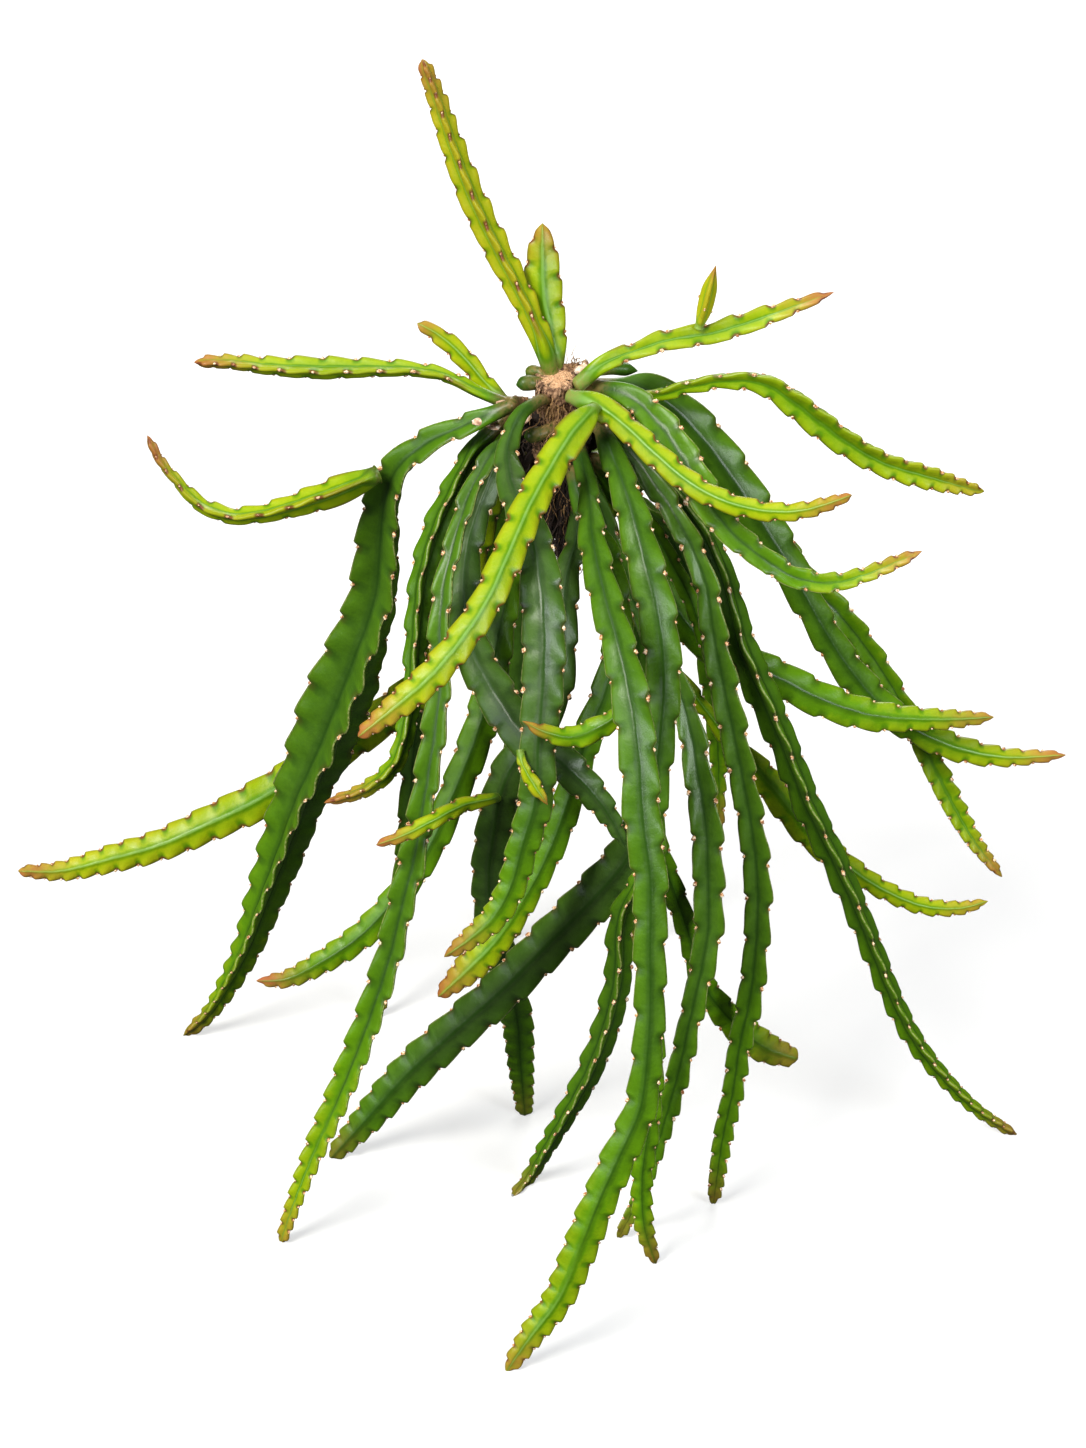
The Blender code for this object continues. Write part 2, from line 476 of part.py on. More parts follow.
def cut_level(mesh):
    """Cuts off what lies under the surface, and closes the cut with a flat face."""
    geometry = mesh.verts[:] + mesh.edges[:] + mesh.faces[:]
    cut = bmesh.ops.bisect_plane(
        mesh, geom=geometry, dist=1e-7, plane_co=(0, 0, 0), plane_no=(0, 0, -1), clear_outer=True
    )
    rim = [item for item in cut["geom_cut"] if isinstance(item, bmesh.types.BMEdge)]
    if rim:
        bmesh.ops.holes_fill(mesh, edges=rim, sides=0)


def new_object(name, mesh, tone):
    bmesh.ops.recalc_face_normals(mesh, faces=mesh.faces)
    bmesh.ops.triangulate(mesh, faces=mesh.faces, quad_method="SHORT_EDGE")
    data = bpy.data.meshes.new(name)
    mesh.to_mesh(data)
    mesh.free()
    data.materials.append(material(tone))
    made = bpy.data.objects.new(name, data)
    bpy.context.scene.collection.objects.link(made)
    return made


def linear(hex_colour):
    """Linear RGBA of an sRGB hex colour."""
    channels = [int(hex_colour[i : i + 2], 16) / 255 for i in (1, 3, 5)]
    return [c / 12.92 if c <= 0.04045 else ((c + 0.055) / 1.055) ** 2.4 for c in channels] + [1.0]


def material(tone):
    name = f"{tone}_surface"
    made = bpy.data.materials.get(name)
    if made is None:
        made = bpy.data.materials.new(name)
        made.use_nodes = True
        shader = made.node_tree.nodes["Principled BSDF"]
        colour, roughness = TONES[tone]
        shader.inputs["Base Color"].default_value = linear(colour)
        shader.inputs["Roughness"].default_value = roughness
        shader.inputs["Metallic"].default_value = 0.0
    return made


def make_stem(stem):
    path = path_of(stem)
    mesh = bmesh.new()
    add_rings(mesh, stem_rings(stem, path), path.line[-1] if stem.wings else None)
    if stem.foot:
        cut_level(mesh)
    return new_object(stem.name, mesh, stem.tone)


def tube(points, radii, sides):
    """A closed tube through points."""
    mesh = bmesh.new()
    points = np.array(points, float)
    tangents = np.gradient(points, axis=0)
    rings = []
    for point, tangent, radius in zip(points, tangents, radii):
        tangent = unit(tangent)
        side = unit(np.cross(tangent, NEAR + 0.01 * RIGHT))
        front = np.cross(side, tangent)
        turns = [2 * math.pi * k / sides for k in range(sides)]
        rings.append([point + radius * (math.cos(t) * side + math.sin(t) * front) for t in turns])
    add_rings(mesh, rings, None)
    return mesh


def stub_and_column():
    """The cut branch, with its flat sawn top, and the old wood that goes down under it."""
    profile = (
        (0, CUT_RADIUS), (1, 1.1 * CUT_RADIUS), (9, 1.17 * CUT_RADIUS), (16, BARK_RADIUS), (30, 1.3 * BARK_RADIUS),
        (48, 1.15 * BARK_RADIUS), (66, 0.9 * BARK_RADIUS), (COLUMN_LENGTH / MM, 0.4 * BARK_RADIUS),
    )
    mesh = bmesh.new()
    rings = []
    for depth, radius in profile:
        ring = []
        for k in range(COLUMN_SIDES):
            angle = 2 * math.pi * k / COLUMN_SIDES
            swell = 1 + 0.06 * math.sin(3 * angle - 0.11 * depth)
            spot = np.array((math.cos(angle), math.sin(angle), 0)) * radius * swell
            ring.append(CROWN + spot - (0, 0, depth * MM))
        rings.append(ring)
    add_rings(mesh, rings, None)
    return mesh


def knob(stem, path):
    """The short stalk from the crown to a stem's flat base. It stops a touching gap short of it."""
    ring = stem_rings(stem, path)[0]
    centre, side, front, width = path.at(0.0)
    forward = np.cross(front, side)
    anchor = CROWN + np.array(ANCHORS[stem.anchor], float) * MM
    near = [point - forward * SEAT_GAP for point in ring]
    far = [anchor + (point - centre) * KNOB_FLARE for point in ring]
    mesh = bmesh.new()
    add_rings(mesh, [far, near], None)
    return mesh


def lump(centre, size):
    mesh = bmesh.new()
    bmesh.ops.create_icosphere(mesh, subdivisions=1, radius=1.0)
    for vertex in mesh.verts:
        vertex.co = Vector(CROWN + (np.array(centre) + np.array(vertex.co) * np.array(size)) * MM)
    return mesh


def from_cut(points):
    return [CROWN + np.array(point, float) * MM for point in points]


def crown_pieces():
    pieces = [stub_and_column()]
    pieces += [tube(from_cut(points), [r * MM for r in radii], sides) for points, radii, sides in ROOTS]
    pieces += [lump(centre, size) for centre, size in ROOT_LUMPS]
    for stem in SEEN_STEMS + CUT_STUBS + BACK_STEMS:
        if stem.anchor:
            pieces.append(knob(stem, path_of(stem)))
    return pieces


def make_crown():
    """One solid of wood, matted roots and stalks, joined by a union."""
    group = bpy.data.collections.new("crown_pieces")
    bpy.context.scene.collection.children.link(group)
    pieces = crown_pieces()
    crown = new_object("woody_crown", pieces[0], "wood")
    for index, mesh in enumerate(pieces[1:]):
        piece = new_object(f"crown_piece_{index}", mesh, "wood")
        bpy.context.scene.collection.objects.unlink(piece)
        group.objects.link(piece)
    union = crown.modifiers.new("union", "BOOLEAN")
    union.operation = "UNION"
    union.operand_type = "COLLECTION"
    union.collection = group
    bpy.context.view_layer.objects.active = crown
    crown.select_set(True)
    bpy.ops.object.modifier_apply(modifier=union.name)
    for piece in list(group.objects):
        bpy.data.objects.remove(piece, do_unlink=True)
    bpy.data.collections.remove(group)
    return crown


def clear_scene():
    for item in list(bpy.data.objects):
        bpy.data.objects.remove(item, do_unlink=True)


def main():
    clear_scene()
    make_crown()
    for stem in SEEN_STEMS + CUT_STUBS + BACK_STEMS:
        make_stem(stem)


if __name__ == "__main__":
    main()
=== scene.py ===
"""The looks of a cut rhipsalis clump: waxy crenate stems, woolly areoles, a sawn woody crown and dry roots.

Metres, +Z up, the viewer at -Y looking along +Y and down. Each stem is a fine mesh on its solid's route, with
the crenations, the raised rib and the areoles that the solid leaves out.
"""

import math
import random
from collections import namedtuple
from functools import partial

import bmesh
import bpy
import numpy as np
from mathutils import Matrix, Vector, noise


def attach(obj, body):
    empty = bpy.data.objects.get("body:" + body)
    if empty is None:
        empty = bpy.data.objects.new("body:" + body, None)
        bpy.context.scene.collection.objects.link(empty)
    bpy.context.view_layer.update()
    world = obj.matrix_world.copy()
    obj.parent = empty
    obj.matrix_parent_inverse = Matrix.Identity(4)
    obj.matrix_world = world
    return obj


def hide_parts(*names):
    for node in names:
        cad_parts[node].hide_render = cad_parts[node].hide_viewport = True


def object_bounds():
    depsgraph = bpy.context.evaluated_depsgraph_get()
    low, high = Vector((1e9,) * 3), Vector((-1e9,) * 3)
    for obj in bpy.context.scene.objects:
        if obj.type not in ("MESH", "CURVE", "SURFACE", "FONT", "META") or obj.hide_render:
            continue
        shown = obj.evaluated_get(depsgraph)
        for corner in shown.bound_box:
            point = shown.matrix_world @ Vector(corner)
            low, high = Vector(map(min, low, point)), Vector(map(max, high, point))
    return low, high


bl_info = {
    "name": "Rhipsalis cutting",
    "version": (1, 0, 0),
    "blender": (4, 5, 0),
    "location": "3D View > Sidebar > Cutting",
    "description": "Builds the fine skin, areoles, roots and stage of a rhipsalis cutting",
    "category": "Object",
}

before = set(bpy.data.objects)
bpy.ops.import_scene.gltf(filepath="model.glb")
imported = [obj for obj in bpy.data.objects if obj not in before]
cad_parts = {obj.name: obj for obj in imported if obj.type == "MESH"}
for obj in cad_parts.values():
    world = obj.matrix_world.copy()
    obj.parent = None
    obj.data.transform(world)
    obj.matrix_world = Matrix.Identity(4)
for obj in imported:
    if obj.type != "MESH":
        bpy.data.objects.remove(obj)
CAD_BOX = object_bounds()
MM = 0.001

# The crown
CROWN = np.array((0.0130, 0.0335, 0.440))  # the middle of the cut
CUT_RADIUS = 9.3 * MM
BARK_RADIUS = 9.5 * MM
WOOD_SIDES = 84
FLAKE_COUNT = 110
CUT_LEAN = 0.22  # how far the sawn top leans towards the viewer
LEAN_DEPTH = 14 * MM  # where that lean has faded out
FIBRE_RADIUS = 0.42  # in mm, as are the next two
STRAW_RADIUS = 0.34
HUSK_THICKNESS = 0.22

# The marks on each material: how far across they are, and how far apart the growth rings lie
SKIN_MOTTLE = 9.1 * MM
SKIN_GRAIN = 1.92 * MM
WOOL_TUFT = 1.11 * MM
HORN_TINT = 5.0 * MM
GROWTH_RING = 1.102 * MM
RING_WAVER = 3.85 * MM
WOOD_FLECK = 1.25 * MM
BARK_PLATE = 2.38 * MM
BARK_FLECK = 3.03 * MM
FIBRE_PATCH = 4.17 * MM
HUSK_MOTTLE = 2.38 * MM
TABLE_TINT = 167 * MM

# The viewer, who gives the seen points of a route their sight lines
VIEW_ELEVATION = math.radians(30)
VIEW_DISTANCE = 2.2
VIEW_ACROSS = -6.5 * MM
VIEW_UP = -173.5 * MM
VIEW_HEIGHT = 724 * MM

# What all stems share
FOOT_HEIGHT = -1.5 * MM  # where the route of a standing tip ends
CORK_LENGTH = 9 * MM  # how far rubbed cork reaches up from the base
FLUSH_LENGTH = 38 * MM  # how far the flush reaches down from the tip
LONGEST_FLUSH_SHARE = 0.35  # of the stem's length
RIB_SHARE = 0.12  # thickness of the rib that grows with the width
STALK_LENGTH = 26 * MM  # the round stalk of a stem from the crown
HOST_STALK = 9 * MM  # the same for a stem that grows from another one
LONGEST_STALK_SHARE = 0.22  # of the stem's length
STALK_RINGS = 10
STALK_FLARE = 0.12  # how much thicker the stalk begins
HOST_REACH = 1.0 * MM  # how far a stem starts inside the one that carries it
FLAT_MARGIN = 0.88  # where a flat stem's margin begins to round, of the way from rib to margin
WING_MARGIN = 0.86  # the same for three wings

# Crenations
SHOULDER_PHASE = 0.84  # where in its pitch a crenation steps in
DEEPEST_NOTCH = 0.34  # of the half width
LEAN = 0.35  # how many pitches a fold leans on its way to the rib
CLOSER_FROM = 0.6  # the share of the length from which they lie closer together
TIP_PITCH_SHARE = 0.28  # how close they lie at the very tip
LAST_PITCHES = 1.35  # the least length of the rounded tip
STUB_TIP_SHARE = 0.3  # the rounded end of a stub, which has no crenations
TIP_RINGS = 12

# What a stem's tone gives it: the depth of its crenations, the size of its areoles, and its wax
DEPTH_OF_TONE = {"young": 0.9, "leaf": 0.8, "mature": 0.8}
AREOLE_OF_TONE = {"young": 0.62, "leaf": 0.88, "mature": 1.0}
COAT_OF_TONE = {"young": 0.08, "leaf": 0.16, "mature": 0.26}

# How thick a section is between its rib and its margins
ROOF = 0.95  # the share of the rib's thickness from which a wing thins out
RIDGE = 0.32  # how high the midrib stands on a flat stem, as a share of the same
RIDGE_WIDTH = 0.1  # of the half width
CORE_SHARE = 0.9  # how thick three wings are where they meet, as a share of a flat stem's rib
WING_THINNING = 1.6  # the power with which each of them thins out
FLAT_SWELLING = 4  # how strongly the pucker swells a flat stem's crenations, and below, those of three wings
WING_SWELLING = 3
SINKING = 0.4  # how strongly it sinks a flat stem towards its margins
FOLD_LINE = 0.4  # the place across a wing that its fold leaves where it is

# How a tip rounds off: two powers that shape its narrowing, and the share to which its thickness falls
# besides
TIP_NARROWING = 1.7
TIP_FULLNESS = 0.85
TIP_THICKNESS = 0.35

# The areoles
AREOLE_SHRINK = 0.4  # how much smaller they are at the tip
WOOL_UNEVEN = 0.18
WOOL_LUMPS = np.array((3.1, 4.7, 2.3))
CUSHION_SHAPE = (0.95, 1.15, 0.75)  # outward, along the margin and across it
BRISTLES_EACH = 3
BRISTLE_RADIUS = 0.09 * MM
BRISTLE_TURNS = (0, 2.1, 4.2)  # where the three corners of its foot lie
RIPENESS_PLACES = (0, 0.14, 0.62, 1)  # of the length: base, start and end of the middle, tip

RIGHT = np.array((1.0, 0.0, 0.0))
UP = np.array((0.0, math.sin(VIEW_ELEVATION), math.cos(VIEW_ELEVATION)))
NEAR = np.array((0.0, -math.cos(VIEW_ELEVATION), math.sin(VIEW_ELEVATION)))
AWAY = np.array((0.0, math.cos(VIEW_ELEVATION), math.sin(VIEW_ELEVATION)))
VIEWER = VIEW_ACROSS * RIGHT + VIEW_UP * UP + VIEW_DISTANCE * NEAR

# Points of the crown that stalks grow from, in mm from the cut: right, back, up
ANCHORS = {
    "top": (0, 0, -8),
    "rim": (-1, 7, -7),
    "left": (-15, -1, -14),
    "right": (13, 2, -12),
    "front": (3, -6, -22),
    "trunk": (0, 2, -16),
    "low": (1, 0, -52),
    "back": (0, 5, -42),
}

# A stem: its name, wings, tone, crenation pitch in mm, and the crown's anchor, or None where it grows from
# another stem. Then how young or old its skin looks at base, middle and tip, from 0, old and dark, to 1,
# young and lime, and how strongly the tip is flushed. The low values at the bases of the stems inside the
# clump are also painted shade, where the stems shade each other near the crown. Then its route, its roll at
# base and tip in degrees, and whether its tip stands on the surface. A seen route's points are (across, up,
# back, width) in
# mm: across and up from the cut as the viewer sees them, back behind it, and the width as seen. A real
# route's are (right, back, up, width).
Stem = namedtuple("Stem", "name wings tone pitch anchor ripe route roll foot", defaults=((0, 0), False))

SEEN_STEMS = (
    Stem("stem_tall", 3, "young", 17, "rim", (0.56, 0.88, 1.0, 0.9), (
        (-3, 4, 6, 8), (-7.8, 20, 6, 12), (-17.8, 42, 12, 14), (-29.8, 65, 18, 15), (-41.8, 90, 24, 15),
        (-52.8, 119, 30, 13), (-59.8, 140, 33, 11), (-67, 159, 35, 7))),
    Stem("stem_upright", 2, "young", 15, "rim", (0.62, 0.7, 0.84, 0.7), (
        (1, 5, 10, 6), (-2, 21, 14, 16), (-5.8, 38, 20, 20), (-6.8, 57, 26, 18), (-6.8, 68, 29, 13),
        (-6.8, 77, 31, 4))),
    Stem("stem_short_left", 2, "young", 15, "left", (0.6, 0.78, 0.86, 0.7), (
        (-27, -11, 7, 6), (-37, -1, 9, 10), (-46.4, 10, 11, 11), (-57.4, 20, 13, 10), (-69.4, 27, 14, 6))),
    Stem("stem_long_left", 3, "leaf", 17, "left", (0.5, 0.68, 0.86, 0.9), (
        (-26, -12, -4, 6), (-39, -7, -3, 6), (-52, 0, -2, 7), (-68, 4, 0, 8), (-93, 5, 2, 10),
        (-118, 5, 3, 12), (-143, 6, 4, 10), (-163, 8, 5, 8), (-181, 8, 6, 6)), roll=(20, 20)),
    Stem("stem_left_leg", 3, "mature", 26, "left", (0.38, 0.28, 0.66, 0.7), (
        (-23, -14, -15, 7), (-33, -18.6, -16, 9), (-50, -25.6, -13, 13), (-68, -34.6, -8, 15),
        (-81, -46.6, -2, 17), (-87, -62, 4, 20), (-90, -84, 10, 23), (-93, -111, 17, 25),
        (-102, -139, 24, 30), (-111, -164, 30, 36), (-120, -189, 36, 34), (-129, -211, 41, 29),
        (-139, -241, 47, 25), (-147, -264, 51, 21), (-154, -284, 55, 17), (-164, -304, 58, 13),
        (-174, -319, 61, 9), (-186, -330, 63, 7)), roll=(48, -14), foot=True),
    Stem("stem_curled_left", 3, "young", 16, None, (0.52, 0.74, 0.86, 1.0), (
        (-90, -49, -9, 9), (-97, -52, -12, 12), (-110, -57, -14, 15.5), (-128, -63, -15, 13.5),
        (-147, -68, -15, 10.5), (-163, -69, -14, 9.5), (-178, -63, -12, 8.5), (-189, -52, -10, 6),
        (-198, -41, -8, 5), (-204, -29, -6, 4)), roll=(0, 20)),
    Stem("stem_low_left", 2, "leaf", 22, "back", (0.52, 0.66, 0.88, 0.9), (
        (-16, -37, 5, 7), (-28, -48, 20, 13), (-40, -81, 34, 18), (-53, -116, 42, 20), (-65, -151, 48, 21),
        (-78, -164, 54, 21), (-103, -181.5, 61, 21), (-128, -198.5, 67, 21), (-150, -212, 69, 21),
        (-175, -224, 69, 19), (-198, -234, 66, 17), (-223, -241, 62, 15), (-248, -247, 58, 11),
        (-269, -247, 54, 6))),
    Stem("stem_front_yellow", 2, "young", 18, None, (0.62, 0.72, 0.86, 0.9), (
        (18.9, -15.8, -32.6, 6), (15, -20, -40, 13), (8, -28, -49, 17), (-2, -44, -65, 18),
        (-13, -64, -87, 18), (-24, -89, -112, 18), (-34, -111, -130, 17), (-47, -131, -144, 17),
        (-63, -150, -156, 17), (-79, -164, -164, 15), (-99, -180, -170, 7))),
    Stem("stem_right_yellow", 2, "young", 17, "right", (0.7, 0.74, 0.88, 0.9), (
        (8, -10, -17, 7), (20, -14, -26, 13), (34, -24, -38, 14), (49, -38, -52, 14), (67, -53, -66, 13),
        (84, -62, -76, 12), (104, -67, -82, 11), (122, -67, -85, 10), (137, -63, -87, 8),
        (148, -59, -87, 4))),
    Stem("stem_right_upper", 3, "leaf", 19, "right", (0.66, 0.68, 0.88, 0.9), (
        (12, -3, -5, 8), (23, 6, -4, 9), (38, 12.5, 0, 10), (57, 18.5, 4, 12), (77, 21.5, 8, 12),
        (97, 27.5, 12, 12), (117, 34.5, 14, 9), (139, 42.5, 16, 4)), roll=(60, 60)),
    Stem("stem_right_arch", 3, "leaf", 16, "right", (0.5, 0.6, 0.8, 0.4), (
        (22, -9, 6, 7), (47, -10, 0, 7), (67, -5, -2, 8), (87, -2, -4, 9), (104, -4, -6, 11.8),
        (117, -12, -8, 14), (131, -23, -10, 15.1), (146, -34, -12, 14), (164, -44, -12, 12.9),
        (187, -51, -12, 12.3), (214, -58, -12, 5)), roll=(20, 28)),
    Stem("stem_right_middle", 3, "leaf", 18, "right", (0.34, 0.36, 0.9, 0.8), (
        (22, -5, -1, 8), (37, -10, -12, 12), (52, -24, -26, 17), (64, -42, -40, 18), (75, -61, -52, 18),
        (89, -79, -60, 15), (104, -91, -66, 13), (119, -100, -68, 12), (137, -103, -68, 11),
        (154, -99, -66, 9), (169, -93, -64, 8), (183, -87, -62, 4)), roll=(60, 60)),
    Stem("stem_right_broad", 2, "mature", 24, "right", (0.3, 0.3, 0.92, 0.9), (
        (22, -4, 15, 7), (33, -5, 16, 10), (46, -7, 16, 19), (62, -19, 14, 24), (80.8, -41, 10, 25),
        (97.8, -66, 4, 24), (115.8, -94, -2, 20.5), (127.8, -116, -6, 17.5), (142.8, -141, -8, 17.5),
        (159, -161, -8, 18), (177, -175, -6, 15), (199, -185, -4, 15), (224, -190, -2, 11),
        (255, -189, 0, 5))),
    Stem("stem_right_back", 3, "mature", 19, "back", (0.36, 0.48, 0.7, 0.8), (
        (20, -10, 22, 7), (40, -16, 30, 12), (62, -30, 34, 13.5), (88, -56, 34, 15.5), (112, -86, 28, 16.5),
        (125, -103, 24, 15), (138, -115, 20, 15), (156, -137, 22, 13), (172, -162, 22, 11),
        (187, -191, 20, 13), (199, -215, 18, 12), (209, -232, 16, 9), (223, -250, 14, 4)), roll=(60, 60)),
    Stem("stem_right_cross", 2, "leaf", 20, "low", (0.3, 0.42, 0.74, 0.8), (
        (20, -41, -7, 7), (32, -61, -11, 12), (45, -84, -16, 17), (55, -106.5, -19, 18),
        (67, -125.5, -21, 19), (87, -139.5, -23, 20), (112, -151, -24, 20), (132, -161, -24, 19),
        (157, -169, -23, 17), (182, -171, -21, 13), (202, -171, -20, 10), (219, -170, -19, 5))),
    Stem("stem_right_low", 2, "young", 19, "low", (0.3, 0.62, 0.82, 0.6), (
        (15, -53, 2, 7), (28, -91, -2, 9), (47, -131, -12, 8), (67, -156, -26, 8), (79, -172, -28, 9),
        (94, -189, -28, 13), (112, -209.5, -26, 18), (129, -230.5, -24, 16), (147, -245.5, -22, 13),
        (164, -256.5, -20, 11), (184, -264.5, -18, 10), (202, -265.5, -18, 8), (216, -262, -18, 4))),
    Stem("stem_right_leg", 3, "mature", 24, "right", (0.3, 0.3, 0.62, 0.7), (
        (27, -22, 8, 7), (48, -44, -6, 11), (69, -69, -20, 12), (78, -84, -28, 13), (86, -106, -35, 14),
        (93, -134, -41, 17), (104.5, -161, -46, 18), (115.5, -187, -49, 16), (125.5, -213, -52, 16),
        (138.5, -240, -53, 15), (149.5, -264, -53, 14), (159.5, -289, -52, 13), (168.5, -311, -50, 12),
        (179.5, -332, -47, 11), (193.5, -350, -43, 9), (210.5, -366.5, -37, 7),
        (230.5, -379.5, -30, 5)), roll=(0, 10), foot=True),
    Stem("stem_right_dark_leg", 3, "mature", 24, "front", (0.24, 0.26, 0.52, 0.6), (
        (24, -25, -6, 7), (34, -34, -15, 11), (47, -51, -28, 13), (62, -74, -42, 13), (74, -101, -53, 13),
        (79, -131, -61, 15), (85, -161, -68, 16), (92.2, -196, -75, 15), (97.7, -226, -80, 15),
        (100.7, -256, -84, 15), (99.7, -286, -88, 14), (96.7, -311, -91, 14), (91.7, -334, -93, 13),
        (88.5, -356, -95, 12), (83.5, -379, -96, 11), (80.5, -399, -97, 9),
        (78.5, -414, -98, 6)), roll=(52, 60), foot=True),
    Stem("stem_middle_dark_leg", 3, "mature", 24, "low", (0.2, 0.26, 0.4, 0.4), (
        (15, -49, -13, 7), (24, -72, -25, 11), (34, -101, -36, 12), (46, -126, -52, 12),
        (57, -146, -64, 13), (66, -171, -76, 14), (71, -199, -88, 16), (75, -226, -97, 17),
        (76, -251, -104, 17), (76, -276, -110, 16), (72, -299, -115, 14), (67, -321, -119, 13),
        (62, -344, -122, 13), (56, -366, -124, 12), (49, -389, -125, 9), (41, -411, -126, 8),
        (31, -431, -127, 6)), roll=(60, 60), foot=True),
    Stem("stem_front_right", 2, "leaf", 24, "front", (0.28, 0.28, 0.58, 0.6), (
        (23, -27, -20, 8), (28, -39, -34, 13), (36, -61, -58, 17), (44, -91, -82, 20), (51, -121, -98, 21),
        (54, -151, -108, 19), (52, -181, -118, 17), (48, -221, -128, 16), (47, -286, -138, 15),
        (48, -341, -144, 14), (46, -376, -147, 13), (43, -401, -148, 12), (44, -424, -149, 11),
        (50, -444, -149, 6)), foot=True),
    Stem("stem_front_leg", 2, "leaf", 24, "front", (0.26, 0.29, 0.76, 0.7), (
        (11, -35, -16, 8), (16, -56, -45, 11), (18.2, -81, -80, 15.6), (24.2, -109, -110, 17.6),
        (31.2, -134, -133, 18.6), (37.2, -161, -152, 20.6), (41.2, -191, -168, 20.6),
        (43.2, -221, -180, 20.6), (47, -251, -190, 19), (47, -286, -200, 18), (47, -316, -207, 17),
        (45.5, -341, -213, 17), (42, -366, -218, 18), (32, -389, -222, 19), (22, -411, -226, 19),
        (12, -436, -229, 19), (1, -461, -232, 17), (-13, -480, -234, 14), (-25, -498, -236, 8)), foot=True),
    Stem("stem_centre_leg", 2, "mature", 20, "trunk", (0.34, 0.14, 0.76, 0.8), (
        (-9, -12, -14, 6), (-18, -19, -25, 8), (-24, -34, -39, 12), (-23, -50, -57, 16),
        (-17, -66, -75, 19), (-10, -89, -95, 21), (-7, -111, -111, 23), (-6, -136, -124, 23),
        (-7, -161, -134, 22), (-9, -186, -142, 20), (-10, -211, -148, 19), (-17, -236, -152, 17),
        (-22, -254, -154, 16), (-30, -269, -155, 15), (-42, -280, -155, 12), (-56, -290, -154, 6))),
    Stem("stem_behind_centre", 2, "leaf", 20, "low", (0.26, 0.36, 0.88, 0.9), (
        (8, -47, -16, 7), (15, -69, -38, 12), (26, -91, -60, 15), (31, -130, -84, 16), (25, -157, -94, 16),
        (15, -182, -102, 16), (8, -206, -108, 16), (-0.5, -231, -112, 15), (-11.5, -254, -114, 14),
        (-29.5, -281, -114, 16), (-43, -295, -113, 17), (-59, -310, -112, 7))),
    Stem("stem_back_short_leg", 2, "mature", 22, "low", (0.18, 0.14, 0.46, 0.3), (
        (12, -63, -9, 8), (10, -82, -30, 12), (5, -101, -48, 15), (3, -126, -65, 17), (0, -156, -78, 18),
        (-12, -180, -84, 19), (-25, -201, -86, 20), (-31.5, -231, -78, 20), (-33.5, -251, -70, 19),
        (-31.5, -274, -58, 18), (-25.5, -296, -44, 17), (-19.5, -321, -30, 17), (-17.5, -345.5, -20, 14),
        (-15.5, -369.5, -11, 9)), foot=True),
    Stem("stem_diagonal_dark", 2, "mature", 24, None, (0.5, 0.16, 0.36, 0.3), (
        (50, -200, -119, 8), (49, -202, -113, 10), (45, -220.2, -106, 18), (35.2, -241.2, -100, 24),
        (18.2, -261.2, -92, 25), (-3.8, -283.2, -82, 24), (-26.8, -306.2, -74, 23),
        (-51.8, -328.2, -65, 22), (-73.8, -348.2, -58, 21), (-93.8, -370.2, -54, 17),
        (-113, -391.2, -52, 9)), foot=True),
    Stem("stem_behind_front_leg", 3, "mature", 22, None, (0.52, 0.3, 0.42, 0.4), (
        (48, -243, -127, 7), (47, -245, -122, 8), (40, -255, -119, 11), (33, -271, -115, 14),
        (31, -301, -108, 15), (25, -326, -101, 15), (16, -349, -94, 14), (5, -369, -88, 12),
        (-5, -386, -82, 10), (-14, -401, -76, 8), (-22, -411, -72, 6)), foot=True),
    Stem("stem_cross_dark", 2, "mature", 22, "left", (0.2, 0.1, 0.12, 0.0), (
        (-24, -31, 5, 8), (-35, -56, -8, 14), (-44, -84, -28, 16), (-46, -111, -50, 18),
        (-42, -136, -72, 20), (-30, -159, -94, 22), (-15, -180, -112, 22), (4, -194, -124, 20),
        (19, -209, -127, 16), (28, -222, -127, 11), (35, -236, -127, 4))),
    Stem("stem_left_inner_leg", 3, "leaf", 23, "left", (0.22, 0.3, 0.8, 0.6), (
        (-23, -30, -8, 7), (-33, -39, -20, 9), (-44, -59, -36, 10), (-51, -81, -52, 10),
        (-57, -106, -67, 11), (-59, -131, -79, 12), (-59, -156, -88, 13), (-62, -181, -97, 14),
        (-66, -206, -104, 14), (-71, -236, -110, 15), (-78, -264, -114, 15), (-84, -289, -117, 15),
        (-92, -314, -120, 15), (-100, -336, -122, 15), (-110, -361, -124, 14), (-121, -386, -126, 12),
        (-130, -409, -128, 9), (-138, -433, -129, 6)), roll=(36, 36), foot=True),
    Stem("stem_left_outer", 3, "leaf", 18, "left", (0.24, 0.34, 0.8, 0.9), (
        (-29, -24, -3, 7), (-41, -37, -10, 11), (-50, -54, -20, 14), (-60, -76, -33, 15),
        (-67, -101, -46, 14), (-70, -131, -57, 13), (-72, -156, -67, 11), (-75, -176, -76, 11),
        (-81, -194, -83, 10), (-95, -206, -88, 9), (-116, -213, -91, 4))),
    Stem("stem_left_back_low", 2, "leaf", 20, "low", (0.28, 0.4, 0.62, 1.0), (
        (-11, -51, -10, 7), (-19, -81, -17, 13), (-25, -111, -24, 15), (-29, -131, -33, 17),
        (-33, -156, -44, 18), (-40, -181, -54, 18), (-50, -206, -62, 17), (-62, -233, -70, 16),
        (-78, -258, -76, 15), (-97, -279, -80, 15), (-118, -293, -82, 13), (-135, -301, -82, 10),
        (-150, -302, -82, 5))),
    Stem("stem_pale_inner", 2, "leaf", 14, None, (0.34, 0.4, 0.46, 0.3), (
        (31.4, -58.8, -15, 5), (34, -62, -20, 7), (42, -70, -28, 9), (49, -78, -32, 10), (58, -94, -36, 10),
        (67, -111, -38, 9), (74, -131, -38, 8), (80, -149, -38, 7), (82, -164, -38, 4))),
    Stem("twig_right_upper", 3, "young", 12, None, (0.8, 0.9, 0.92, 0.8), (
